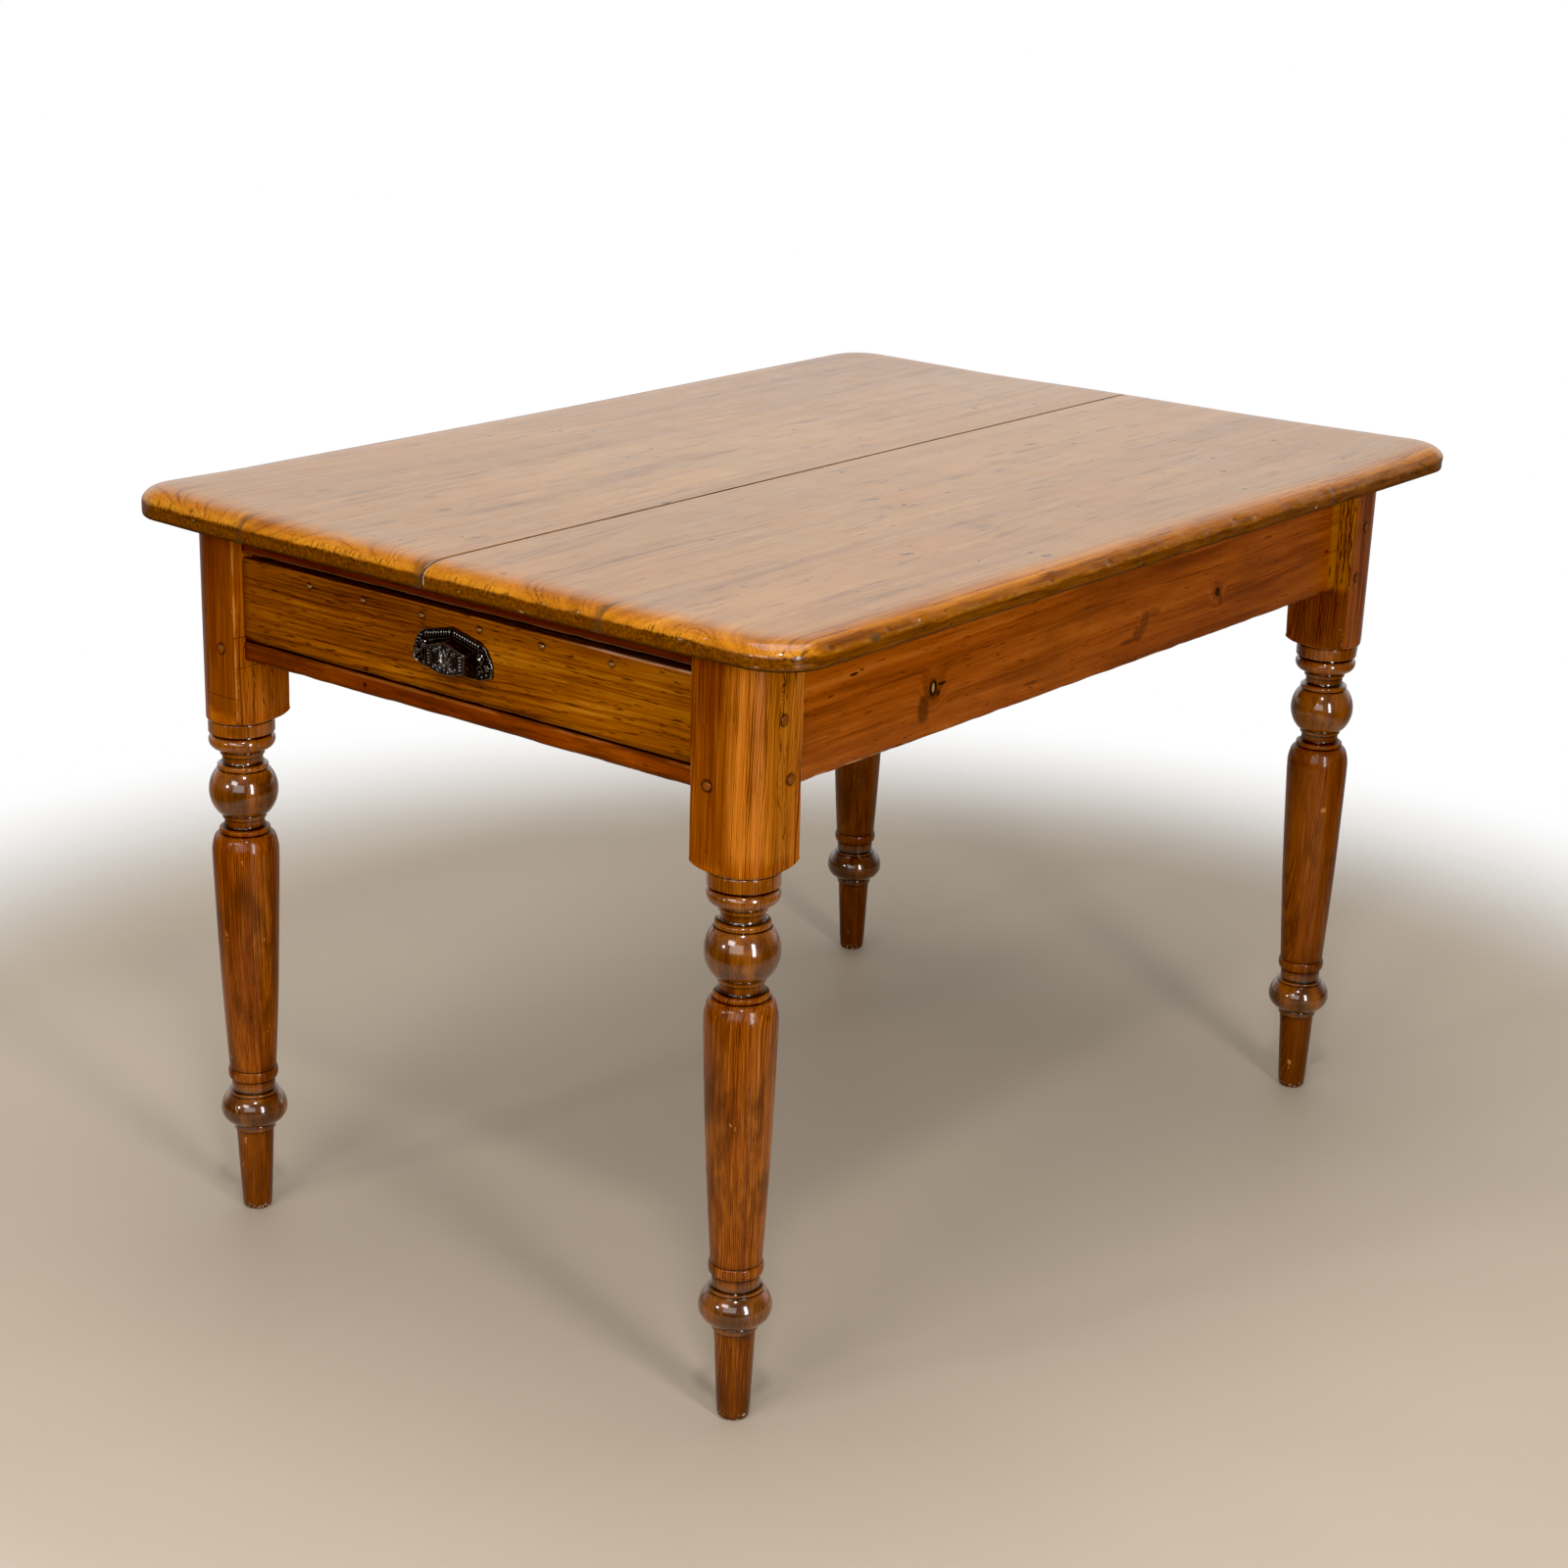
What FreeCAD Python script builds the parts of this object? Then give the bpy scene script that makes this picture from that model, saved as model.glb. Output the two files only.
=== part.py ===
import FreeCAD, Part
import math
import os
import re
import Sketcher

# Pine kitchen table with turned legs and one drawer in the end.
# Millimetres. X runs along the length with the drawer end at -X, Y across,
# Z up, origin on the floor under the middle of the top.

V = FreeCAD.Vector
doc = FreeCAD.newDocument("tavern_table")

# ---------------------------------------------------------------- driving sizes
SIZES = [
    ("top_len", 1160.0, "top, length"),
    ("top_wid", 840.0, "top, width"),
    ("table_h", 760.0, "floor to top face"),
    ("top_thk", 24.0, "top, thickness"),
    ("corner_rad", 52.0, "top, corner radius in plan"),
    ("round_wid", 27.0, "worn round-over of the top edge, width"),
    ("round_drop", 8.0, "worn round-over of the top edge, drop"),
    ("round_soft", 50.0, "softening radius where the round-over starts"),
    ("ridge_rad", 5.0, "radius of the ridge at mid edge"),
    ("under_rad", 7.0, "radius of the lower edge"),
    ("seam_right", -212.0, "joint between boards 1 and 2"),
    ("seam_mid", 2.0, "open joint between boards 2 and 3"),
    ("seam_left", 244.0, "joint between boards 3 and 4"),
    ("seam_gap", 2.4, "width of the open joint"),
    ("frame_dx", -7.5, "middle of the leg frame from the middle of the top, X"),
    ("frame_dy", 4.0, "middle of the leg frame from the middle of the top, Y"),
    ("leg_dx", 505.0, "half spacing of the leg axes along X"),
    ("leg_dy", 325.5, "half spacing of the leg axes along Y"),
    ("post", 69.0, "side of the square leg post"),
    ("post_low", 536.0, "lower end of the leg post"),
    ("setback", 12.0, "aprons and rails behind the face of the post"),
    ("apron_thk", 22.0, "apron thickness"),
    ("apron_low", 605.5, "lower edge of the aprons"),
    ("tenon_thk", 10.0, "apron tenon, thickness"),
    ("tenon_len", 38.0, "apron tenon, length"),
    ("tenon_low", 611.0, "apron tenon, lower edge"),
    ("tenon_top", 725.0, "apron tenon, upper edge"),
    ("rail_low", 603.7, "lower drawer rail, underside"),
    ("rail_thk", 19.8, "lower drawer rail, thickness"),
    ("rail_up", 712.3, "upper drawer rail, underside"),
    ("rail_tenon_len", 30.0, "lower rail tenon, length"),
    ("rail_tenon_hgt", 15.0, "lower rail tenon, height"),
    ("rail_tenon_wid", 22.0, "lower rail tenon, width"),
    ("lap_len", 24.0, "upper rail dovetail, length"),
    ("lap_thk", 19.0, "upper rail dovetail, thickness"),
    ("lap_neck", 26.0, "upper rail dovetail, width at the shoulder"),
    ("lap_end", 32.0, "upper rail dovetail, width at the end"),
    ("peg_rad", 4.2, "joint peg, radius"),
    ("peg_proud", 0.4, "joint peg, how far it stands proud"),
    ("fit", 0.05, "radial clearance round pegs, nails and screws"),
    ("runner_wid", 54.0, "drawer runner, width"),
    ("guide_wid", 34.8, "drawer guide, width"),
    ("guide_hgt", 20.0, "drawer guide, height"),
    ("guide_len", 700.0, "drawer guide, length"),
    ("kicker_low", 709.0, "drawer kicker, underside"),
    ("stop_len", 22.0, "drawer stop, along X"),
    ("stop_wid", 40.0, "drawer stop, along Y"),
    ("stop_hgt", 7.5, "drawer stop, height"),
    ("block_side", 25.0, "glue block, section"),
    ("block_len", 60.0, "glue block, length"),
    ("side_gap", 1.0, "drawer clearance each side"),
    ("drawer_low", 624.0, "drawer, lower edge"),
    ("front_hgt", 82.4, "drawer front, height"),
    ("front_thk", 22.0, "drawer front, thickness"),
    ("drawer_len", 560.0, "drawer, overall length"),
    ("dside_thk", 12.0, "drawer side, thickness"),
    ("dside_hgt", 79.0, "drawer side, height"),
    ("dback_thk", 12.0, "drawer back, thickness"),
    ("dback_top", 700.0, "drawer back, upper edge"),
    ("bottom_low", 633.0, "drawer bottom, underside"),
    ("bottom_thk", 8.0, "drawer bottom, thickness"),
    ("groove_deep", 5.0, "groove for the drawer bottom, depth in the sides"),
    ("groove_front", 6.0, "groove for the drawer bottom, depth in the front"),
    ("tail_len", 14.0, "lapped dovetail, length"),
    ("tail_neck", 13.4, "dovetail, height at the shoulder"),
    ("tail_end", 18.0, "dovetail, height at the end"),
    ("pull_y", 7.2, "cup pull, middle"),
    ("pull_z", 667.0, "cup pull, middle height"),
    ("pull_wid", 102.0, "cup pull, width"),
    ("pull_peak", 25.0, "cup pull, peak of the back plate above the middle"),
    ("pull_foot", 20.5, "cup pull, foot of the back plate below the middle"),
    ("pull_deep", 15.0, "cup pull, projection"),
    ("pull_wall", 2.2, "cup pull, wall"),
    ("hood_peak", 15.0, "cup pull, peak of the hood above the middle"),
    ("hood_slope", 15.1, "cup pull, slope of the hood roof in degrees"),
    ("pull_screw", 45.0, "cup pull, screws from the middle"),
]

# The turning of the leg, foot to post: radius, height, and the radius of the
# arc that leads to the next point (0 straight, + bulging, - hollow).
TURNING = [
    (10.0, 0.0, 5.0), (14.7, 5.0, 0), (15.6, 16.0, 0), (17.0, 44.0, 0),
    (18.4, 76.0, 0), (19.2, 90.4, 0), (21.2, 91.2, 0), (21.2, 96.4, 0),
    (20.7, 97.2, 0), (22.8, 98.0, 16.4), (33.9, 113.5, 23.0), (26.4, 130.5, 0),
    (24.9, 131.2, 0), (25.6, 131.9, 0), (25.6, 134.0, 0), (22.4, 134.8, 0),
    (21.8, 147.2, 0), (24.4, 148.0, 16.0), (24.9, 157.8, 0), (23.7, 158.8, 0),
    (24.2, 168.0, 0), (26.1, 200.0, 0), (28.7, 250.0, 0), (30.7, 300.0, 0),
    (32.3, 350.0, 0), (33.3, 384.0, 0), (33.4, 394.0, 44.0), (31.3, 407.5, 10.0),
    (26.4, 414.6, 0), (24.8, 415.2, 0), (25.4, 416.2, 0), (25.4, 419.2, 0),
    (24.6, 420.2, 0), (23.3, 420.5, -3.6), (20.1, 424.3, 0), (20.1, 430.2, 0),
    (22.1, 430.9, 0), (22.1, 435.0, 0), (21.6, 435.8, 0), (25.8, 436.6, 34.4),
    (26.3, 481.4, 0), (24.6, 482.0, 0), (25.4, 483.0, 0), (25.4, 486.0, 0),
    (24.6, 487.0, 0), (23.3, 487.3, -3.6), (20.2, 491.1, 0), (20.2, 496.4, 0),
    (22.1, 497.1, 0), (22.1, 501.4, 0), (21.6, 502.1, 0), (23.4, 502.8, 9.5),
    (33.0, 511.5, 6.6), (30.2, 518.4, 0), (29.4, 519.0, 0), (29.4, 520.0, 0),
    (33.0, 520.8, 0), (33.0, 533.2, 0), (32.3, 533.9, 0), (33.0, 534.6, 0),
    (33.0, 540.0, 0),
]
for number, (radius, height, bend) in enumerate(TURNING):
    SIZES.append(("turn_rad_%02d_" % number, radius, "leg turning, radius %d" % number))
    SIZES.append(("turn_hgt_%02d_" % number, height, "leg turning, height %d" % number))
    if bend:
        SIZES.append(("turn_arc_%02d_" % number, abs(bend), "leg turning, arc %d" % number))

sheet = doc.addObject("Spreadsheet::Sheet", "dims")
for row, (alias, value, note) in enumerate(SIZES, start=1):
    sheet.set("A%d" % row, note)
    sheet.set("B%d" % row, repr(value))
    sheet.setAlias("B%d" % row, alias)
doc.recompute()
NAMES = set(item[0] for item in SIZES)
VALUE = dict((item[0], item[1]) for item in SIZES)


def ex(text):
    """An expression with every size name pointed at its cell."""
    def point(found):
        word = found.group(0)
        return "dims." + word if word in NAMES else word
    return re.sub(r"[A-Za-z_][A-Za-z_0-9]*", point, str(text))


def bind(obj, **sizes):
    for path, text in sizes.items():
        obj.setExpression(path.replace("__", "."), ex(text))


def place(obj, x, y, z, rotation=None):
    obj.Placement = FreeCAD.Placement(V(0, 0, 0), rotation or FreeCAD.Rotation())
    bind(obj, Placement__Base__x=x, Placement__Base__y=y, Placement__Base__z=z)
    return obj


def box(name, lx, ly, lz, x, y, z):
    obj = doc.addObject("Part::Box", name)
    bind(obj, Length=lx, Width=ly, Height=lz)
    return place(obj, x, y, z)


TURN = {
    "z": FreeCAD.Rotation(),
    "-z": FreeCAD.Rotation(V(1, 0, 0), 180),
    "x": FreeCAD.Rotation(V(0, 1, 0), 90),
    "-x": FreeCAD.Rotation(V(0, 1, 0), -90),
    "y": FreeCAD.Rotation(V(1, 0, 0), -90),
    "-y": FreeCAD.Rotation(V(1, 0, 0), 90),
}


def rod(name, radius, length, x, y, z, way):
    obj = doc.addObject("Part::Cylinder", name)
    bind(obj, Radius=radius, Height=length)
    return place(obj, x, y, z, TURN[way])


def cone(name, rad_1, rad_2, length, x, y, z, way):
    obj = doc.addObject("Part::Cone", name)
    bind(obj, Radius1=rad_1, Radius2=rad_2, Height=length)
    return place(obj, x, y, z, TURN[way])


def wedge(name, x, y, z, rotation, **sizes):
    obj = doc.addObject("Part::Wedge", name)
    bind(obj, **sizes)
    return place(obj, x, y, z, rotation)


def group(name, members):
    obj = doc.addObject("Part::Compound", name)
    obj.Links = members
    return obj


def fuse(name, members):
    obj = doc.addObject("Part::MultiFuse", name)
    obj.Shapes = members
    obj.Refine = True
    return obj


def cut(name, base, tools):
    obj = doc.addObject("Part::Cut", name)
    obj.Base = base
    obj.Tool = tools[0] if len(tools) == 1 else group(name + "_tools", tools)
    obj.Refine = True
    return obj


def plane_of(body, role):
    for feature in body.Origin.OriginFeatures:
        if feature.Role == role:
            return feature
    raise RuntimeError("no plane " + role)


def new_sketch(body, name, role):
    sketch = body.newObject("Sketcher::SketchObject", name)
    sketch.AttachmentSupport = [(plane_of(body, role), "")]
    sketch.MapMode = "FlatFace"
    return sketch


def pin_point(sketch, geo, pos, x_text, y_text, x, y):
    """Hold one end of a line or arc at bound distances from the origin."""
    if abs(x) < 1e-9 and abs(y) < 1e-9:
        sketch.addConstraint(Sketcher.Constraint("Coincident", geo, pos, -1, 1))
        return
    if abs(x) < 1e-9:
        sketch.addConstraint(Sketcher.Constraint("PointOnObject", geo, pos, -2))
    else:
        index = sketch.addConstraint(Sketcher.Constraint("DistanceX", -1, 1, geo, pos, x))
        if x_text is not None:
            sketch.setExpression("Constraints[%d]" % index, ex(x_text))
    if abs(y) < 1e-9:
        sketch.addConstraint(Sketcher.Constraint("PointOnObject", geo, pos, -1))
    else:
        index = sketch.addConstraint(Sketcher.Constraint("DistanceY", -1, 1, geo, pos, y))
        if y_text is not None:
            sketch.setExpression("Constraints[%d]" % index, ex(y_text))


def arc_between(p, q, radius, bulge_right):
    """Circle arc from p to q: its centre lies left or right of the way p to q."""
    mid = V((p[0] + q[0]) / 2, (p[1] + q[1]) / 2, 0)
    chord = V(q[0] - p[0], q[1] - p[1], 0)
    half = chord.Length / 2
    rise = math.sqrt(max(radius * radius - half * half, 0.0))
    normal = V(-chord.y, chord.x, 0).normalize()
    centre = mid + normal * (rise if bulge_right else -rise)
    start = math.atan2(p[1] - centre.y, p[0] - centre.x)
    end = math.atan2(q[1] - centre.y, q[0] - centre.x)
    return centre, start, end


# ---------------------------------------------------------------- frame: rails and aprons
LEG_X = {"front": "(frame_dx - leg_dx)", "rear": "(frame_dx + leg_dx)"}
LEG_Y = {"right": "(frame_dy - leg_dy)", "left": "(frame_dy + leg_dy)"}
POST_TOP = "(table_h - top_thk)"
IN_FRONT = "(frame_dx - leg_dx + post / 2)"      # inner face of the front posts
IN_REAR = "(frame_dx + leg_dx - post / 2)"
IN_RIGHT = "(frame_dy - leg_dy + post / 2)"
IN_LEFT = "(frame_dy + leg_dy - post / 2)"
SPAN_X = "(2 * leg_dx - post)"
SPAN_Y = "(2 * leg_dy - post)"
APRON_RIGHT = "(frame_dy - leg_dy - post / 2 + setback)"            # outer face
APRON_LEFT = "(frame_dy + leg_dy + post / 2 - setback - apron_thk)"  # inner face
APRON_REAR = "(frame_dx + leg_dx + post / 2 - setback - apron_thk)"  # inner face
RAIL_X = "(frame_dx - leg_dx - post / 2 + setback)"                  # outer face

def apron_along_x(name, y_low):
    main = box(name + "_board", SPAN_X, "apron_thk", POST_TOP + " - apron_low", IN_FRONT, y_low, "apron_low")
    parts = [main]
    for end, x in (("front", IN_FRONT + " - tenon_len"), ("rear", IN_REAR)):
        parts.append(box(name + "_tenon_" + end, "tenon_len", "tenon_thk", "tenon_top - tenon_low",
                         x, y_low + " + (apron_thk - tenon_thk) / 2", "tenon_low"))
    return fuse(name + "_blank", parts)


side_right_blank = apron_along_x("apron_right", APRON_RIGHT)
side_left_blank = apron_along_x("apron_left", APRON_LEFT)

end_parts = [box("apron_end_board", "apron_thk", SPAN_Y, POST_TOP + " - apron_low", APRON_REAR, IN_RIGHT, "apron_low")]
for end, y in (("right", IN_RIGHT + " - tenon_len"), ("left", IN_LEFT)):
    end_parts.append(box("apron_end_tenon_" + end, "tenon_thk", "tenon_len", "tenon_top - tenon_low",
                         APRON_REAR + " + (apron_thk - tenon_thk) / 2", y, "tenon_low"))
end_blank = fuse("apron_end_blank", end_parts)

# lower rail, laid flat, with a stout tenon at each end
low_parts = [box("rail_low_board", "post - setback", SPAN_Y, "rail_thk", RAIL_X, IN_RIGHT, "rail_low")]
for end, y in (("right", IN_RIGHT + " - rail_tenon_len"), ("left", IN_LEFT)):
    low_parts.append(box("rail_low_tenon_" + end, "rail_tenon_wid", "rail_tenon_len", "rail_tenon_hgt",
                         RAIL_X + " + 4.5", y, "rail_low + (rail_thk - rail_tenon_hgt) / 2"))
rail_low_blank = fuse("rail_low_blank", low_parts)

# upper rail, dovetailed down into the tops of the posts
up_parts = [box("rail_up_board", "post - setback", SPAN_Y, POST_TOP + " - rail_up", RAIL_X, IN_RIGHT, "rail_up")]
up_parts.append(wedge("rail_up_tail_left", RAIL_X + " + 17.5", IN_LEFT, POST_TOP + " - lap_thk", None,
                      Xmin="-lap_neck / 2", Xmax="lap_neck / 2", X2min="-lap_end / 2", X2max="lap_end / 2",
                      Ymin="0", Ymax="lap_len", Zmin="0", Zmax="lap_thk", Z2min="0", Z2max="lap_thk"))
up_parts.append(wedge("rail_up_tail_right", RAIL_X + " + 17.5", IN_RIGHT + " - lap_len", POST_TOP + " - lap_thk", None,
                      Xmin="-lap_end / 2", Xmax="lap_end / 2", X2min="-lap_neck / 2", X2max="lap_neck / 2",
                      Ymin="0", Ymax="lap_len", Zmin="0", Zmax="lap_thk", Z2min="0", Z2max="lap_thk"))
rail_up_blank = fuse("rail_up_blank", up_parts)

# ---------------------------------------------------------------- pegs through the tenons
peg_sets = {"side_apron_pegs": [], "drawer_rail_pegs": [], "end_apron_pegs": []}
peg_holes = []


def peg(kind, name, x, y, z, way, length):
    peg_sets[kind].append(rod(name, "peg_rad", length, x, y, z, way))
    peg_holes.append(rod(name + "_hole", "peg_rad + fit", length + " + fit", x, y, z, way))


for end in ("front", "rear"):
    inward = "+" if end == "front" else "-"
    for offset, z in (("7.5", "673"), ("18", "618")):
        for side in ("right", "left"):
            face = LEG_Y[side] + (" - post / 2 - peg_proud" if side == "right" else " + post / 2 + peg_proud")
            peg("side_apron_pegs", "peg_%s_%s_%s" % (end, side, z),
                LEG_X[end] + " " + inward + " " + offset, face, z, "y" if side == "right" else "-y", "peg_proud + 32.5")
for side in ("right", "left"):
    inward = "+" if side == "right" else "-"
    peg("drawer_rail_pegs", "peg_rail_" + side, LEG_X["front"] + " - post / 2 - peg_proud",
        LEG_Y[side] + " " + inward + " 14", "rail_low + rail_thk / 2", "x", "peg_proud + 40")
    for z in ("690", "635"):
        peg("end_apron_pegs", "peg_end_%s_%s" % (side, z), LEG_X["rear"] + " + post / 2 + peg_proud",
            LEG_Y[side] + " " + inward + " 12", z, "-x", "peg_proud + 32.5")

# ---------------------------------------------------------------- turned legs


def leg_body(name, end, side, angle):
    body = doc.addObject("PartDesign::Body", name + "_turning")

    turning = new_sketch(body, name + "_profile", "XZ_Plane")
    points = [(0.0, 0.0)] + [(r, z) for r, z, bend in TURNING] + [(0.0, TURNING[-1][1])]
    bends = [0] + [bend for r, z, bend in TURNING] + [0]
    ends = []
    for index, (p, bend) in enumerate(zip(points, bends)):
        q = points[(index + 1) % len(points)]
        if not bend:
            geo = turning.addGeometry(Part.LineSegment(V(p[0], p[1], 0), V(q[0], q[1], 0)), False)
            ends.append((geo, 1, 2))
            continue
        centre, start, stop = arc_between(p, q, abs(bend), bend > 0)
        circle = Part.Circle(centre, V(0, 0, 1), abs(bend))
        if bend > 0:
            geo = turning.addGeometry(Part.ArcOfCircle(circle, start, stop), False)
            ends.append((geo, 1, 2))
        else:
            geo = turning.addGeometry(Part.ArcOfCircle(circle, stop, start), False)
            ends.append((geo, 2, 1))
    count = len(points)
    for index in range(count):
        geo, first, last = ends[index]
        after, after_first, _ = ends[(index + 1) % count]
        turning.addConstraint(Sketcher.Constraint("Coincident", geo, last, after, after_first))
    for index in range(count):
        geo, first, last = ends[index]
        x, y = points[index]
        word = min(max(index - 1, 0), len(TURNING) - 1)
        pin_point(turning, geo, first, "turn_rad_%02d_" % word, "turn_hgt_%02d_" % word, x, y)
    for index, bend in enumerate(bends):
        if bend:
            row = turning.addConstraint(Sketcher.Constraint("Radius", ends[index][0], abs(bend)))
            turning.setExpression("Constraints[%d]" % row, ex("turn_arc_%02d_" % (index - 1)))
    doc.recompute()
    revolve = body.newObject("PartDesign::Revolution", name + "_revolve")
    revolve.Profile = turning
    revolve.ReferenceAxis = (turning, ["V_Axis"])
    revolve.Angle = 360.0
    doc.recompute()

    # square post: three square corners, the outer one a quarter round
    half = VALUE["post"] / 2
    section = new_sketch(body, name + "_post_section", "XY_Plane")
    section.AttachmentOffset = FreeCAD.Placement(V(0, 0, VALUE["post_low"]), FreeCAD.Rotation())
    section.setExpression("AttachmentOffset.Base.z", ex("post_low"))
    lines = [((half, -half), (half, half)), ((half, half), (-half, half)), ((-half, half), (-half, 0))]
    for p, q in lines:
        section.addGeometry(Part.LineSegment(V(p[0], p[1], 0), V(q[0], q[1], 0)), False)
    section.addGeometry(Part.ArcOfCircle(Part.Circle(V(0, 0, 0), V(0, 0, 1), half), math.pi, 1.5 * math.pi), False)
    section.addGeometry(Part.LineSegment(V(0, -half, 0), V(half, -half, 0)), False)
    for a, b in ((0, 1), (1, 2), (2, 3), (3, 4), (4, 0)):
        section.addConstraint(Sketcher.Constraint("Coincident", a, 2, b, 1))
    section.addConstraint(Sketcher.Constraint("Coincident", 3, 3, -1, 1))
    section.addConstraint(Sketcher.Constraint("Vertical", 0))
    section.addConstraint(Sketcher.Constraint("Horizontal", 1))
    section.addConstraint(Sketcher.Constraint("Vertical", 2))
    section.addConstraint(Sketcher.Constraint("Horizontal", 4))
    section.addConstraint(Sketcher.Constraint("PointOnObject", 3, 1, -1))
    section.addConstraint(Sketcher.Constraint("PointOnObject", 3, 2, -2))
    for kind, args in (("Radius", (3,)), ("DistanceX", (-1, 1, 0, 2)), ("DistanceY", (-1, 1, 0, 2))):
        row = section.addConstraint(Sketcher.Constraint(kind, *args, half))
        section.setExpression("Constraints[%d]" % row, ex("post / 2"))
    doc.recompute()
    pad = body.newObject("PartDesign::Pad", name + "_post")
    pad.Profile = section
    pad.setExpression("Length", ex(POST_TOP + " - post_low"))
    doc.recompute()

    # turned shoulder under the square corners
    shoulder = new_sketch(body, name + "_shoulder_section", "XZ_Plane")
    low = VALUE["post_low"]
    p, q = (33.2, low), (50.0, low + 12.0)
    centre, start, stop = arc_between(p, q, 16.0, True)
    shoulder.addGeometry(Part.ArcOfCircle(Part.Circle(centre, V(0, 0, 1), 16.0), start, stop), False)
    for a, b in (((50.0, low + 12.0), (62.0, low + 12.0)), ((62.0, low + 12.0), (62.0, low - 0.4)),
                 ((62.0, low - 0.4), (33.2, low - 0.4)), ((33.2, low - 0.4), (33.2, low))):
        shoulder.addGeometry(Part.LineSegment(V(a[0], a[1], 0), V(b[0], b[1], 0)), False)
    for a, b in ((0, 1), (1, 2), (2, 3), (3, 4), (4, 0)):
        shoulder.addConstraint(Sketcher.Constraint("Coincident", a, 2, b, 1))
    pin_point(shoulder, 0, 1, None, "post_low", 33.2, low)
    pin_point(shoulder, 0, 2, None, "post_low + 12", 50.0, low + 12.0)
    pin_point(shoulder, 2, 1, None, "post_low + 12", 62.0, low + 12.0)
    pin_point(shoulder, 3, 1, None, "post_low - 0.4", 62.0, low - 0.4)
    pin_point(shoulder, 4, 1, None, "post_low - 0.4", 33.2, low - 0.4)
    shoulder.addConstraint(Sketcher.Constraint("Radius", 0, 16.0))
    doc.recompute()
    before = pad.Shape.Volume
    groove = body.newObject("PartDesign::Groove", name + "_shoulder")
    groove.Profile = shoulder
    groove.ReferenceAxis = (shoulder, ["V_Axis"])
    groove.Angle = 360.0
    doc.recompute()
    if not groove.Shape.Volume < before - 300.0:
        raise RuntimeError("%s: the shoulder cut took nothing off: turning %.0f, with post %.0f, cut %.0f" % (
            name, revolve.Shape.Volume, before, groove.Shape.Volume))
    place(body, LEG_X[end], LEG_Y[side], "0", FreeCAD.Rotation(V(0, 0, 1), angle))
    return body


nodes = {}


def keep(obj, label, body):
    obj.Label = label
    nodes[label] = obj
    return obj


for label, end, side, angle in (("leg_front_right", "front", "right", 0), ("leg_rear_right", "rear", "right", 90),
                                ("leg_rear_left", "rear", "left", 180), ("leg_front_left", "front", "left", 270)):
    blank = leg_body(label, end, side, angle)
    tools = [side_right_blank if side == "right" else side_left_blank]
    tools += [rail_low_blank, rail_up_blank] if end == "front" else [end_blank]
    keep(cut(label + "_piece", blank, tools + peg_holes), label, "table")

for label, members in peg_sets.items():
    keep(group(label + "_set", members), label, "table")

# ---------------------------------------------------------------- screws and nails
holes = {}


def screw(kind, name, x, y, z, way, length):
    """Countersunk wood screw: x, y, z is the middle of its head face."""
    step = {"x": (1, 0, 0), "-x": (-1, 0, 0), "y": (0, 1, 0), "-y": (0, -1, 0), "z": (0, 0, 1), "-z": (0, 0, -1)}[way]
    at = ["%s + (%s)" % (c, 2.6 * s) for c, s in zip((x, y, z), step)]
    head = cone(name + "_head", "4.2", "2.1", "2.6", x, y, z, way)
    shank = rod(name + "_shank", "2.1", "%s - 2.6" % length, at[0], at[1], at[2], way)
    screw_sets.setdefault(kind, []).append(fuse(name, [head, shank]))
    holes.setdefault(kind, []).append(cone(name + "_sink", "4.2 + fit", "2.1 + fit", "2.6", x, y, z, way))
    holes[kind].append(rod(name + "_hole", "2.1 + fit", "%s + fit" % length, x, y, z, way))


def nail(kind, name, x, y, z, way, head_rad, head_thk, length, proud):
    step = {"x": (1, 0, 0), "z": (0, 0, 1)}[way]
    start = ["%s - (%s)" % (c, proud * s) for c, s in zip((x, y, z), step)]
    head = rod(name + "_head", str(head_rad), str(head_thk), start[0], start[1], start[2], way)
    shank = rod(name + "_shank", "1.4", str(length), start[0], start[1], start[2], way)
    screw_sets.setdefault(kind, []).append(fuse(name, [head, shank]))
    holes.setdefault(kind, []).append(rod(name + "_sink", "%s + fit" % head_rad, "%s + fit" % head_thk,
                                          start[0], start[1], start[2], way))
    holes[kind].append(rod(name + "_hole", "1.4 + fit", "%s + fit" % length, start[0], start[1], start[2], way))


screw_sets = {}
RUN_RIGHT = "(" + APRON_RIGHT + " + apron_thk)"      # inner face of the right apron
RUN_LEFT = "(" + APRON_LEFT + " - runner_wid)"
for number, x in enumerate(("-400", "0", "400"), start=1):
    for side in ("right", "left"):
        way = "-y" if side == "right" else "y"
        y = RUN_RIGHT + " + runner_wid" if side == "right" else RUN_LEFT
        screw("runner_screws", "runner_screw_%s_%d" % (side, number), x, y, "rail_low + rail_thk / 2", way, "70")
        screw("kicker_screws", "kicker_screw_%s_%d" % (side, number), x, y, "kicker_low + 9", way, "70")
        gy = RUN_RIGHT + " + guide_wid / 2" if side == "right" else APRON_LEFT + " - guide_wid / 2"
        gx = {"-400": "-440", "0": "-130", "400": "190"}[x]
        screw("guide_screws", "guide_screw_%s_%d" % (side, number), gx, gy, "rail_low + rail_thk + guide_hgt", "-z", "34")
for number, x in enumerate(("-300", "-60", "180", "420"), start=1):
    for side in ("right", "left"):
        y = RUN_RIGHT + " + 30" if side == "right" else APRON_LEFT + " - 30"
        screw("top_screws", "top_screw_%s_%d" % (side, number), x, y, "kicker_low", "z", POST_TOP + " - kicker_low + 13")
for number, y in enumerate(("-250", "-150", "-60", "60", "180", "270"), start=1):
    screw("top_screws", "top_screw_rail_%d" % number, RAIL_X + " + 30", y, "rail_up", "z", POST_TOP + " - rail_up + 13")
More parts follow.
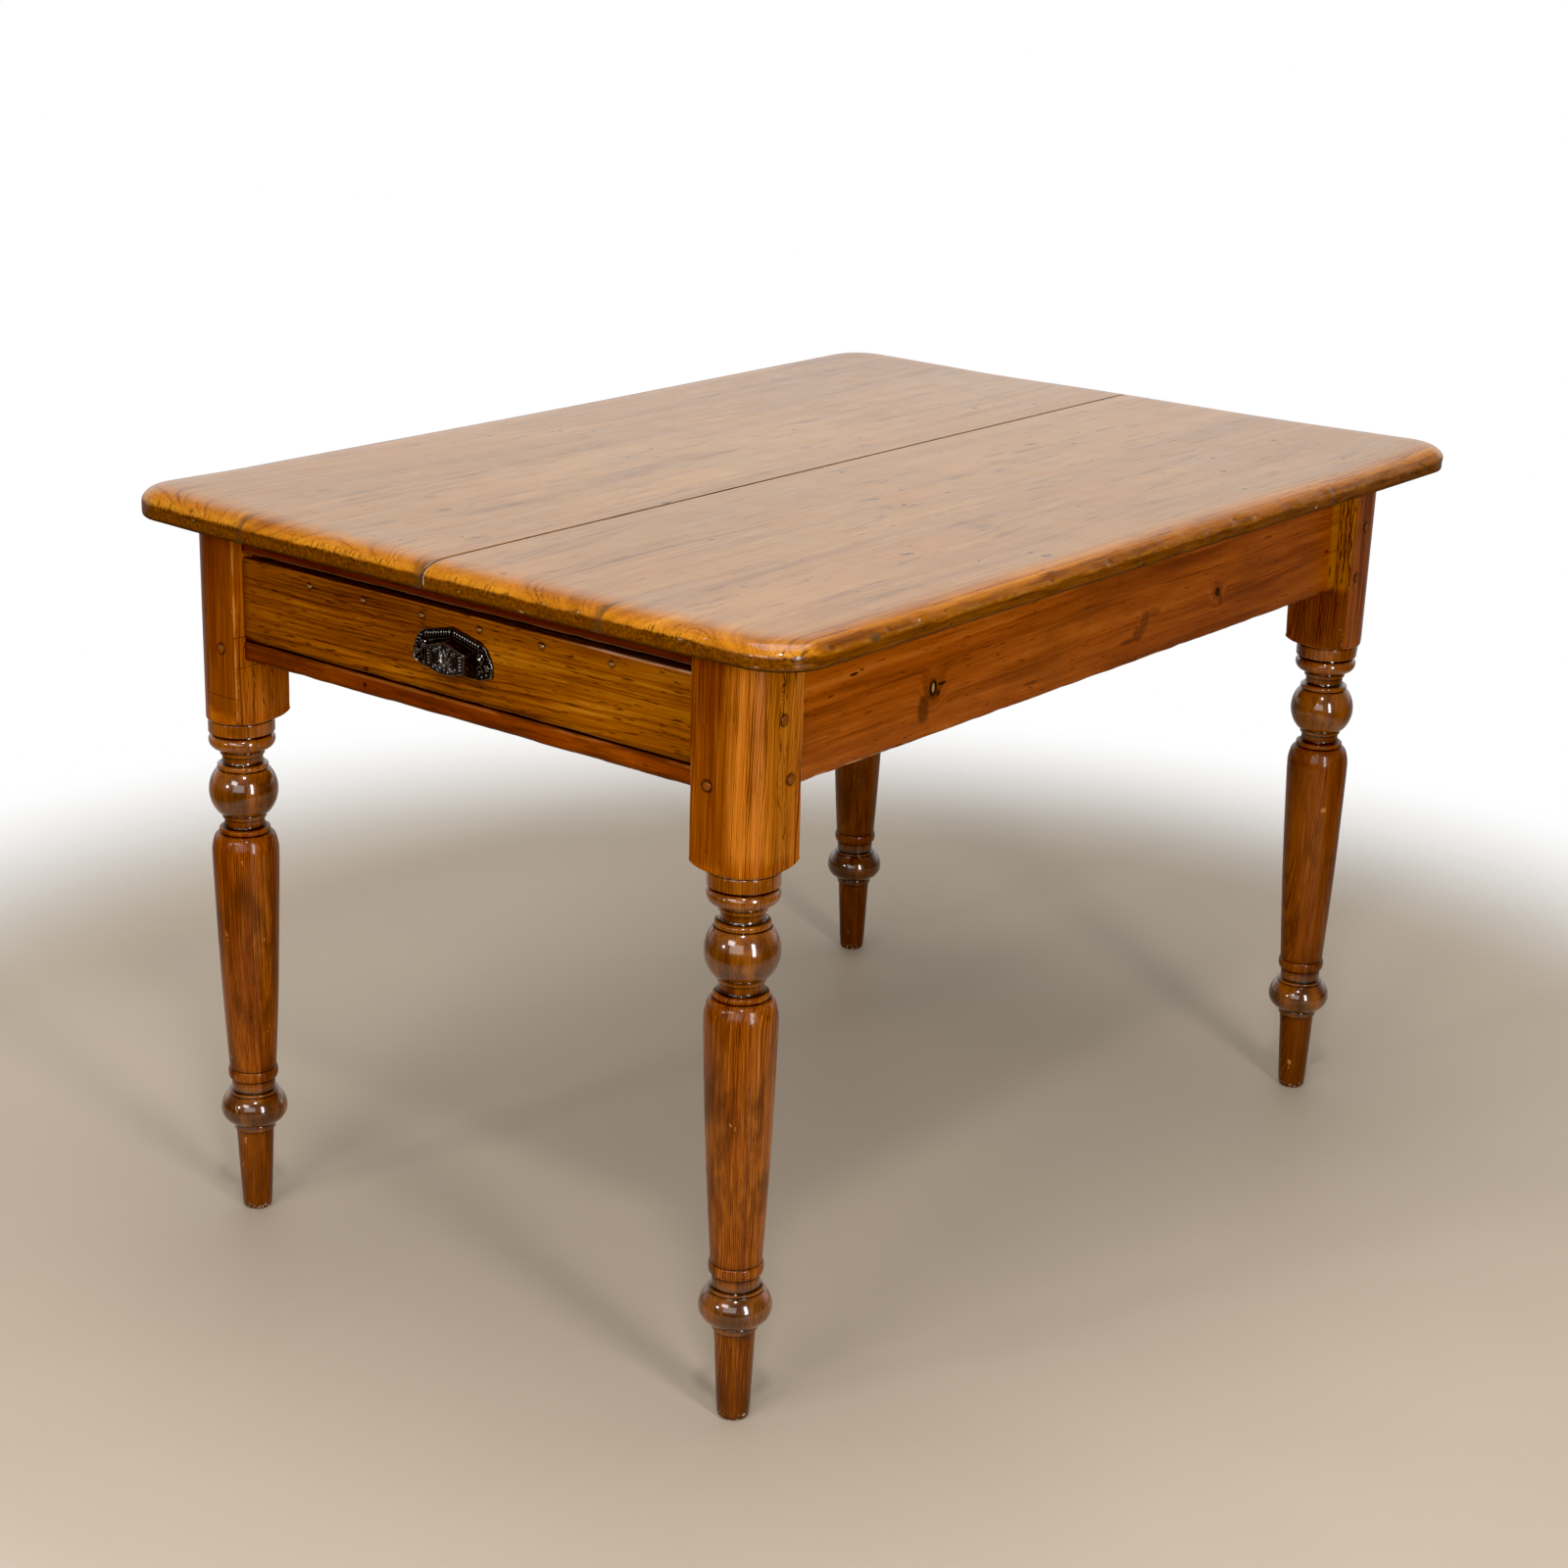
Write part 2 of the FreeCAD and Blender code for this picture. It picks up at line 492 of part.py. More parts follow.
# top screws double as the register of the boards, so the far end has them as well, through the glue blocks
BLOCKS = ("-150", "-55", "60", "175")
for number, y in enumerate(BLOCKS, start=1):
    screw("top_screws", "top_screw_block_%d" % number, APRON_REAR + " - block_side / 2", y,
          POST_TOP + " - block_side", "z", "block_side + 13")

for number, y in enumerate(("199.5", "126.2", "48.5", "-24.9", "-102.9", "-186.1"), start=1):
    nail("drawer_front_nails", "front_nail_%d" % number, RAIL_X, y, "695", "x", 2.5, 1.4, 19, 0.3)
DRAWER_R = "(" + IN_RIGHT + " + side_gap)"
DRAWER_L = "(" + IN_LEFT + " - side_gap)"
BACK_X = "(" + RAIL_X + " + drawer_len - dback_thk)"
for number, y in enumerate(("-220", "-110", "4", "118", "228"), start=1):
    nail("drawer_bottom_nails", "bottom_nail_%d" % number, BACK_X + " + dback_thk / 2", y, "bottom_low", "z", 2.5, 1.4, 32, 0.0)
for number, side in enumerate(("-", "+"), start=1):
    y = "pull_y %s pull_screw" % side
    head = rod("pull_screw_head_%d" % number, "3.4", "1.8", RAIL_X + " - 4.8", y, "pull_z - 5", "x")
    shank = rod("pull_screw_shank_%d" % number, "1.9", "20", RAIL_X + " - 4.8", y, "pull_z - 5", "x")
    screw_sets.setdefault("pull_screws", []).append(fuse("pull_screw_%d" % number, [head, shank]))
    holes.setdefault("pull_screws", []).append(rod("pull_screw_hole_%d" % number, "1.9 + fit", "20 + fit",
                                                   RAIL_X + " - 4.8", y, "pull_z - 5", "x"))
DRAWER_KINDS = ("drawer_front_nails", "drawer_bottom_nails", "pull_screws")
for kind, members in screw_sets.items():
    keep(group(kind + "_set", members), kind, "drawer" if kind in DRAWER_KINDS else "table")

# ---------------------------------------------------------------- fixed frame pieces
keep(cut("side_apron_right_piece", side_right_blank, peg_holes + holes["runner_screws"] + holes["kicker_screws"]), "side_apron_right", "table")
keep(cut("side_apron_left_piece", side_left_blank, peg_holes + holes["runner_screws"] + holes["kicker_screws"]), "side_apron_left", "table")
keep(cut("end_apron_piece", end_blank, peg_holes), "end_apron", "table")
keep(cut("lower_rail_piece", rail_low_blank, peg_holes), "lower_drawer_rail", "table")
keep(cut("upper_rail_piece", rail_up_blank, holes["top_screws"]), "upper_drawer_rail", "table")

for side in ("right", "left"):
    y = RUN_RIGHT if side == "right" else RUN_LEFT
    runner = box("runner_" + side + "_strip", SPAN_X, "runner_wid", "rail_thk", IN_FRONT, y, "rail_low")
    keep(cut("runner_" + side + "_piece", runner, holes["runner_screws"] + holes["guide_screws"]), "drawer_runner_" + side, "table")
    gy = RUN_RIGHT if side == "right" else APRON_LEFT + " - guide_wid"
    guide = box("guide_" + side + "_strip", "guide_len", "guide_wid", "guide_hgt", IN_FRONT, gy, "rail_low + rail_thk")
    keep(cut("guide_" + side + "_piece", guide, holes["guide_screws"]), "drawer_guide_" + side, "table")
    kicker = box("kicker_" + side + "_strip", SPAN_X, "runner_wid", POST_TOP + " - kicker_low", IN_FRONT, y, "kicker_low")
    keep(cut("kicker_" + side + "_piece", kicker, holes["kicker_screws"] + holes["top_screws"]), "drawer_kicker_" + side, "table")

stops = []
for number, y in enumerate(("-146", "154"), start=1):
    stops.append(box("stop_%d" % number, "stop_len", "stop_wid", "stop_hgt", RAIL_X + " + front_thk + 0.5",
                     y + " - stop_wid / 2", "rail_low + rail_thk"))
keep(group("stops_set", stops), "drawer_stops", "table")

blocks = []
for number, y in enumerate(BLOCKS, start=1):
    block = wedge("block_%d_prism" % number, APRON_REAR + " - block_side", y + " - block_len / 2", POST_TOP + " - block_side", None,
                  Xmin="0", Xmax="block_side", X2min="0", X2max="block_side", Ymin="0", Ymax="block_len",
                  Zmin="0", Zmax="block_side", Z2min="0", Z2max="block_side")
    blocks.append(block)
keep(cut("blocks_piece", group("blocks_set", blocks), holes["top_screws"]), "glue_blocks", "table")

# ---------------------------------------------------------------- top
top = doc.addObject("PartDesign::Body", "top_blank")
outline = new_sketch(top, "top_outline", "XY_Plane")
outline.AttachmentOffset = FreeCAD.Placement(V(0, 0, 736.0), FreeCAD.Rotation())
outline.setExpression("AttachmentOffset.Base.z", ex(POST_TOP))
hx, hy, cr = VALUE["top_len"] / 2, VALUE["top_wid"] / 2, VALUE["corner_rad"]
ring = [((-hx + cr, -hy), (hx - cr, -hy)), ((hx, -hy + cr), (hx, hy - cr)), ((hx - cr, hy), (-hx + cr, hy)), ((-hx, hy - cr), (-hx, -hy + cr))]
turns = [((hx - cr, -hy + cr), -0.5), ((hx - cr, hy - cr), 0.0), ((-hx + cr, hy - cr), 0.5), ((-hx + cr, -hy + cr), 1.0)]
for (p, q), (centre, start) in zip(ring, turns):
    outline.addGeometry(Part.LineSegment(V(p[0], p[1], 0), V(q[0], q[1], 0)), False)
    outline.addGeometry(Part.ArcOfCircle(Part.Circle(V(centre[0], centre[1], 0), V(0, 0, 1), cr), start * math.pi, (start + 0.5) * math.pi), False)
for index in range(8):
    outline.addConstraint(Sketcher.Constraint("Tangent", index, 2, (index + 1) % 8, 1))
for index in (0, 4):
    outline.addConstraint(Sketcher.Constraint("Horizontal", index))
for index in (2, 6):
    outline.addConstraint(Sketcher.Constraint("Vertical", index))
for index in (3, 5, 7):
    outline.addConstraint(Sketcher.Constraint("Equal", 1, index))
for kind, args, value, text in (("Radius", (1,), cr, "corner_rad"), ("DistanceX", (-1, 1, 2, 1), hx, "top_len / 2"),
                                ("DistanceX", (6, 1, -1, 1), hx, "top_len / 2"), ("DistanceY", (-1, 1, 4, 1), hy, "top_wid / 2"),
                                ("DistanceY", (0, 1, -1, 1), hy, "top_wid / 2")):
    row = outline.addConstraint(Sketcher.Constraint(kind, *args, value))
    outline.setExpression("Constraints[%d]" % row, ex(text))
doc.recompute()
slab = top.newObject("PartDesign::Pad", "top_slab")
slab.Profile = outline
slab.setExpression("Length", ex("top_thk"))
doc.recompute()


def edges_at(shape, z, at_rim):
    """Names of the edges that lie at height z, on the rim or inside it."""
    found = []
    for number, edge in enumerate(shape.Edges, start=1):
        box_ = edge.BoundBox
        if abs(box_.ZMin - z) < 1e-4 and abs(box_.ZMax - z) < 1e-4:
            rim = max(abs(box_.XMin), abs(box_.XMax)) > hx - 1e-4 or max(abs(box_.YMin), abs(box_.YMax)) > hy - 1e-4
            if rim == at_rim:
                found.append("Edge%d" % number)
    return found


under = top.newObject("PartDesign::Fillet", "top_under_round")
under.Base = (slab, edges_at(slab.Shape, VALUE["table_h"] - VALUE["top_thk"], True))
under.setExpression("Radius", ex("under_rad"))
doc.recompute()
worn = top.newObject("PartDesign::Chamfer", "top_worn_slope")
worn.Base = (under, edges_at(under.Shape, VALUE["table_h"], True))
worn.ChamferType = "Two distances"
worn.setExpression("Size", ex("round_wid"))
worn.setExpression("Size2", ex("round_drop"))
doc.recompute()
if edges_at(worn.Shape, VALUE["table_h"] - VALUE["round_drop"], True) == []:
    worn.FlipDirection = True
    doc.recompute()
ridge = top.newObject("PartDesign::Fillet", "top_ridge")
ridge.Base = (worn, edges_at(worn.Shape, VALUE["table_h"] - VALUE["round_drop"], True))
ridge.setExpression("Radius", ex("ridge_rad"))
doc.recompute()
soft = top.newObject("PartDesign::Fillet", "top_soft_start")
soft.Base = (ridge, edges_at(ridge.Shape, VALUE["table_h"], False))
soft.setExpression("Radius", ex("round_soft"))
doc.recompute()

bands = [("top_board_1", "-top_wid / 2 - 5", "seam_right"), ("top_board_2", "seam_right", "seam_mid - seam_gap / 2"),
         ("top_board_3", "seam_mid + seam_gap / 2", "seam_left"), ("top_board_4", "seam_left", "top_wid / 2 + 5")]
for label, low, high in bands:
    strip = box(label + "_strip", "top_len + 10", "(%s) - (%s)" % (high, low), "top_thk + 10", "-top_len / 2 - 5", low, POST_TOP + " - 5")
    plank = doc.addObject("Part::Common", label + "_plank")
    plank.Base = strip
    plank.Tool = top
    keep(cut(label + "_piece", plank, holes["top_screws"]), label, "table")

# ---------------------------------------------------------------- drawer
front_box = box("drawer_front_board", "front_thk", DRAWER_L + " - " + DRAWER_R, "front_hgt", RAIL_X, DRAWER_R, "drawer_low")
groove_front = box("drawer_front_groove", "groove_front + 2", DRAWER_L + " - " + DRAWER_R + " - 2 * (dside_thk - groove_deep)", "bottom_thk",
                   RAIL_X + " + front_thk - groove_front", DRAWER_R + " + dside_thk - groove_deep", "bottom_low")
side_blanks = {}
for side in ("right", "left"):
    y = DRAWER_R if side == "right" else DRAWER_L + " - dside_thk"
    y_other = y + " + dside_thk"
    parts = [box("drawer_side_%s_board" % side, "drawer_len - front_thk - dback_thk", "dside_thk", "dside_hgt",
                 RAIL_X + " + front_thk", y, "drawer_low")]
    for number, z in enumerate(("638.5", "663", "688.5"), start=1):
        parts.append(wedge("drawer_side_%s_front_tail_%d" % (side, number), RAIL_X + " + front_thk", y, z, FreeCAD.Rotation(V(0, 0, 1), 90),
                           Xmin="0", Xmax="dside_thk", X2min="0", X2max="dside_thk", Ymin="0", Ymax="tail_len",
                           Zmin="-tail_neck / 2", Zmax="tail_neck / 2", Z2min="-tail_end / 2", Z2max="tail_end / 2"))
    for number, z in enumerate(("656", "684"), start=1):
        parts.append(wedge("drawer_side_%s_back_tail_%d" % (side, number), BACK_X, y_other, z, FreeCAD.Rotation(V(0, 0, 1), -90),
                           Xmin="0", Xmax="dside_thk", X2min="0", X2max="dside_thk", Ymin="0", Ymax="dback_thk",
                           Zmin="-tail_neck / 2", Zmax="tail_neck / 2", Z2min="-tail_end / 2", Z2max="tail_end / 2"))
    side_blanks[side] = fuse("drawer_side_%s_blank" % side, parts)
    groove_y = DRAWER_R + " + dside_thk - groove_deep" if side == "right" else DRAWER_L + " - dside_thk - 1"
    groove = box("drawer_side_%s_groove" % side, "drawer_len", "groove_deep + 1", "bottom_thk",
                 RAIL_X + " + front_thk - groove_front", groove_y, "bottom_low")
    keep(cut("drawer_side_%s_piece" % side, side_blanks[side], [groove]), "drawer_side_" + side, "drawer")
keep(cut("drawer_front_piece", front_box, [side_blanks["right"], side_blanks["left"], groove_front]
         + holes["drawer_front_nails"] + holes["pull_screws"]), "drawer_front", "drawer")
back_box = box("drawer_back_board", "dback_thk", DRAWER_L + " - " + DRAWER_R, "dback_top - bottom_low - bottom_thk",
               BACK_X, DRAWER_R, "bottom_low + bottom_thk")
keep(cut("drawer_back_piece", back_box, [side_blanks["right"], side_blanks["left"]] + holes["drawer_bottom_nails"]), "drawer_back", "drawer")
BOTTOM_X = "(" + RAIL_X + " + front_thk - groove_front)"
BOTTOM_Y = "(" + DRAWER_R + " + dside_thk - groove_deep)"
BOTTOM_W = "(" + DRAWER_L + " - " + DRAWER_R + " - 2 * (dside_thk - groove_deep))"
HALF_LEN = "((drawer_len - front_thk + groove_front) / 2)"
keep(box("drawer_bottom_front_board", HALF_LEN, BOTTOM_W, "bottom_thk", BOTTOM_X, BOTTOM_Y, "bottom_low"), "drawer_bottom_front", "drawer")
rear_bottom = box("drawer_bottom_rear_board", HALF_LEN, BOTTOM_W, "bottom_thk", BOTTOM_X + " + " + HALF_LEN, BOTTOM_Y, "bottom_low")
keep(cut("drawer_bottom_rear_piece", rear_bottom, holes["drawer_bottom_nails"]), "drawer_bottom_rear", "drawer")

# ---------------------------------------------------------------- cup pull
pull = doc.addObject("PartDesign::Body", "pull_flange")
rim = new_sketch(pull, "pull_outline", "YZ_Plane")
half_wid, peak, foot = VALUE["pull_wid"] / 2, VALUE["pull_peak"], VALUE["pull_foot"]
corner = [(half_wid, -foot + 5.5), (half_wid, -2.0), (half_wid - 7, peak - 12.5), (half_wid - 15, peak - 7.5), (0.0, peak),
          (-half_wid + 15, peak - 7.5), (-half_wid + 7, peak - 12.5), (-half_wid, -2.0), (-half_wid, -foot + 5.5),
          (-half_wid + 13, -foot), (half_wid - 13, -foot)]
texts = [("pull_wid / 2", "5.5 - pull_foot"), ("pull_wid / 2", "-2"), ("pull_wid / 2 - 7", "pull_peak - 12.5"), ("pull_wid / 2 - 15", "pull_peak - 7.5"),
         ("0", "pull_peak"), ("15 - pull_wid / 2", "pull_peak - 7.5"), ("7 - pull_wid / 2", "pull_peak - 12.5"), ("-pull_wid / 2", "-2"),
         ("-pull_wid / 2", "5.5 - pull_foot"), ("13 - pull_wid / 2", "-pull_foot"), ("pull_wid / 2 - 13", "-pull_foot")]
sides = len(corner)
for index, p in enumerate(corner):
    q = corner[(index + 1) % sides]
    rim.addGeometry(Part.LineSegment(V(p[0], p[1], 0), V(q[0], q[1], 0)), False)
for index in range(sides):
    rim.addConstraint(Sketcher.Constraint("Coincident", index, 2, (index + 1) % sides, 1))
for index, p in enumerate(corner):
    pin_point(rim, index, 1, texts[index][0], texts[index][1], p[0], p[1])
doc.recompute()
plate = pull.newObject("PartDesign::Pad", "pull_plate")
plate.Profile = rim
plate.Length = 3.0
plate.Reversed = True
doc.recompute()
place(pull, RAIL_X, "pull_y", "pull_z")
spin = FreeCAD.Rotation(V(0, 0, 1), 90)
hood_box = wedge("pull_hood_block", RAIL_X, "pull_y", "pull_z", spin, Xmin="-27", Xmax="27", X2min="-25.5", X2max="25.5",
                 Ymin="0", Ymax="pull_deep", Zmin="-20.5", Zmax="hood_peak", Z2min="-18.5", Z2max="hood_peak - 2")
hollow_box = wedge("pull_hollow_block", RAIL_X, "pull_y", "pull_z", spin, Xmin="-27 + pull_wall", Xmax="27 - pull_wall",
                   X2min="-25.5 + pull_wall", X2max="25.5 - pull_wall", Ymin="-0.5", Ymax="pull_deep - pull_wall",
                   Zmin="-26", Zmax="hood_peak + 4", Z2min="-26", Z2max="hood_peak + 4")


def roof_cuts(name, drop):
    """Two blocks that slope the roof down from the middle, following the pediment of the plate."""
    peak = "pull_z + hood_peak - " + drop
    right = box(name + "_right", "40", "60", "30", RAIL_X + " - 30", "pull_y - 45 * cos(hood_slope * 1 deg)",
                peak + " - 45 * sin(hood_slope * 1 deg)")
    left = box(name + "_left", "40", "60", "30", RAIL_X + " - 30", "pull_y - 15 * cos(hood_slope * 1 deg)",
               peak + " + 15 * sin(hood_slope * 1 deg)")
    for cutter, sign in ((right, 1), (left, -1)):
        base = cutter.Placement.Base
        cutter.Placement = FreeCAD.Placement(base, FreeCAD.Rotation(V(1, 0, 0), sign * VALUE["hood_slope"]))
        cutter.setExpression("Placement.Rotation.Angle", ex("%d * hood_slope * 1 deg" % sign))
    return [right, left]


hood = cut("pull_hood", hood_box, roof_cuts("hood_roof", "0"))
hollow = cut("pull_hollow", hollow_box, roof_cuts("hollow_roof", "(pull_wall + 1.9)"))
cup = fuse("pull_solid", [pull, hood])
keep(cut("pull_piece", cup, [hollow] + holes["pull_screws"]), "cup_pull", "drawer")

# ---------------------------------------------------------------- check and write
doc.recompute()
bad = [obj.Name for obj in doc.Objects if any(word in obj.State for word in ("Invalid", "Error"))]
if bad:
    raise RuntimeError("failed objects: " + ", ".join(bad))
for label, obj in sorted(nodes.items()):
    if obj.Shape.isNull() or not obj.Shape.isValid() or not obj.Shape.Solids:
        raise RuntimeError("bad shape: " + label)
os.makedirs("parts", exist_ok=True)
for label, obj in sorted(nodes.items()):
    obj.Shape.exportStep("parts/%s.step" % label)
    size = obj.Shape.BoundBox
    print("%-22s solids %2d  volume %10.0f  x %7.1f %7.1f  y %7.1f %7.1f  z %7.1f %7.1f" % (
        label, len(obj.Shape.Solids), obj.Shape.Volume, size.XMin, size.XMax, size.YMin, size.YMax, size.ZMin, size.ZMax))
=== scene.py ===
import math

import bmesh
import bpy
import numpy as np
from mathutils import Matrix, Vector


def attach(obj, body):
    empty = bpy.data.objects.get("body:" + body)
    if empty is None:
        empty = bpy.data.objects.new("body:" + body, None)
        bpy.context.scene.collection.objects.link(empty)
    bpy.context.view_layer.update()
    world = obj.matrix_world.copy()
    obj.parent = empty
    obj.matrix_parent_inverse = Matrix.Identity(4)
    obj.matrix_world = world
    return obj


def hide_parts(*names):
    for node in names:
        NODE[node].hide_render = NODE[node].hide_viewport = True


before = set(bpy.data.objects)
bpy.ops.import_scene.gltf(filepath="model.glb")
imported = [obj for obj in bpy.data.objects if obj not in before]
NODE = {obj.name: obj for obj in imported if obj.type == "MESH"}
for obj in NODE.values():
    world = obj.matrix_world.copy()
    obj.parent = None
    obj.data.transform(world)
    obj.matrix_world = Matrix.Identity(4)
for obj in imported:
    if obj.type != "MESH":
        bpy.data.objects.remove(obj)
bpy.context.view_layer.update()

scene = bpy.context.scene
MM = 0.001

# ---------------------------------------------------------------- camera
view_dir = Vector((0.74058547, 0.59518059, -0.31191862)).normalized()
right = view_dir.cross(Vector((0, 0, 1))).normalized()
up = right.cross(view_dir)
roll = math.radians(1.4)
right, up = (right * math.cos(roll) + up * math.sin(roll),
             -right * math.sin(roll) + up * math.cos(roll))
cam_data = bpy.data.cameras.new("camera")
cam_data.sensor_fit = "HORIZONTAL"
cam_data.sensor_width = 36.0
cam_data.lens = 69.44
cam_data.clip_start, cam_data.clip_end = 0.05, 100.0
cam = bpy.data.objects.new("camera", cam_data)
scene.collection.objects.link(cam)
turn = Matrix((right, up, -view_dir)).transposed().to_4x4()
cam.matrix_world = Matrix.Translation((-2.41113, -1.88949, 1.41954)) @ turn
scene.camera = cam
scene.view_settings.view_transform = "Standard"
scene.view_settings.look = "None"
scene.view_settings.use_curve_mapping = True
scene.view_settings.curve_mapping.black_level = (0.008, 0.008, 0.008)
scene.view_settings.curve_mapping.update()


# ---------------------------------------------------------------- small maths
def sstep(a, b, x):
    t = np.clip((np.asarray(x, float) - a) / (b - a), 0.0, 1.0)
    return t * t * (3.0 - 2.0 * t)


def hash1(i, seed):
    v = np.sin(np.asarray(i, float) * 12.9898 + seed * 78.233) * 43758.5453
    return v - np.floor(v)


def noise1(x, seed):
    """Smooth noise along a line, 0 to 1."""
    x = np.asarray(x, float)
    i = np.floor(x)
    f = x - i
    u = f * f * (3 - 2 * f)
    return hash1(i, seed) * (1 - u) + hash1(i + 1, seed) * u


def noise2(x, y, seed):
    """Smooth noise over a plane, 0 to 1."""
    x, y = np.asarray(x, float), np.asarray(y, float)
    i, j = np.floor(x), np.floor(y)
    f, g = x - i, y - j
    u, v = f * f * (3 - 2 * f), g * g * (3 - 2 * g)

    def h(a, b):
        return hash1(a + b * 57.31, seed)

    return ((h(i, j) * (1 - u) + h(i + 1, j) * u) * (1 - v)
            + (h(i, j + 1) * (1 - u) + h(i + 1, j + 1) * u) * v)


# ---------------------------------------------------------------- mesh pieces
def finish_mesh(name, bm, body, nodes, mat, sharp=34.0):
    bmesh.ops.remove_doubles(bm, verts=bm.verts, dist=1e-4)
    bmesh.ops.recalc_face_normals(bm, faces=bm.faces)
    me = bpy.data.meshes.new(name)
    bm.to_mesh(me)
    bm.free()
    me.transform(Matrix.Scale(MM, 4))
    me.shade_smooth()
    me.set_sharp_from_angle(angle=math.radians(sharp))
    ob = bpy.data.objects.new(name, me)
    scene.collection.objects.link(ob)
    me.materials.append(mat)
    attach(ob, body)
    if nodes:
        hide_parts(*nodes)
    return ob


def grid_mesh(points, closed_u=True, attrs=None, caps=True):
    """points: rows x columns x 3 in mm. Rows are joined to the next row, columns wrap round."""
    rows, cols, _ = points.shape
    bm = bmesh.new()
    layers = {k: bm.verts.layers.float.new(k) for k in (attrs or {})}
    grid = []
    for i in range(rows):
        line = []
        for j in range(cols):
            v = bm.verts.new(points[i, j])
            for k, lay in layers.items():
                v[lay] = float(attrs[k][i, j])
            line.append(v)
        grid.append(line)
    last = cols if closed_u else cols - 1
    for i in range(rows - 1):
        for j in range(last):
            k = (j + 1) % cols
            bm.faces.new((grid[i][j], grid[i][k], grid[i + 1][k], grid[i + 1][j]))
    if caps:
        bm.faces.new(list(reversed(grid[0])))
        bm.faces.new(grid[-1])
    return bm


def rounded_section(lo, hi, radii, n=4):
    """A rectangle in two axes with its own rounding at each corner, as a ring of points."""
    (a0, b0), (a1, b1) = lo, hi
    centres = ((a1, b1, -1, -1, 0), (a0, b1, 1, -1, 90), (a0, b0, 1, 1, 180), (a1, b0, -1, 1, 270))
    ring = []
    for (ca, cb, sa, sb, start), r in zip(centres, radii):
        for i in range(n + 1):
            t = math.radians(start + 90.0 * i / n)
            ring.append((ca + sa * r + r * math.cos(t), cb + sb * r + r * math.sin(t)))
    return ring


def plank(name, axis, stations, body, nodes, mat, rad=1.2, worn=0.8, step=9.0, seed=1.0, cut=0.8,
          corner_worn=(1, 1, 1, 1)):
    """A planed board swept along one axis. stations: (place, low corner, high corner) of the section."""
    others = [i for i in range(3) if i != axis]
    rings = []
    first, last = stations[0][0], stations[-1][0]

    def add(s, lo, hi, inset):
        radii = []
        for c in range(4):
            w = noise1(s / 21.0, seed + c * 3.1) * 0.7 + noise1(s / 6.0, seed + c * 5.7) * 0.3
            radii.append(rad * corner_worn[c] * (1.0 + worn * (2.2 * w * w - 0.35)))
        lo = [v + inset for v in lo]
        hi = [v - inset for v in hi]
        ring = []
        for a, b in rounded_section(lo, hi, [max(r, 0.15) for r in radii]):
            p = [0.0, 0.0, 0.0]
            p[axis] = s
            p[others[0]] = a
            p[others[1]] = b
            ring.append(p)
        rings.append(ring)

    for (s0, lo0, hi0), (s1, lo1, hi1) in zip(stations[:-1], stations[1:]):
        if s0 == s1:
            add(s0, lo0, hi0, 0.0)
            continue
        n = max(2, int(math.ceil((s1 - s0) / step)))
        places = [s0 + (s1 - s0) * i / n for i in range(n + 1)]
        if s0 == first:
            add(s0, lo0, hi0, cut)
            places[0] = s0 + cut
        if s1 == last:
            places[-1] = s1 - cut
        for s in places:
            t = (s - s0) / (s1 - s0)
            add(s, [u + (v - u) * t for u, v in zip(lo0, lo1)], [u + (v - u) * t for u, v in zip(hi0, hi1)], 0.0)
        if s1 == last:
            add(s1, lo1, hi1, cut)
    bm = grid_mesh(np.array(rings))
    return finish_mesh(name, bm, body, nodes, mat)


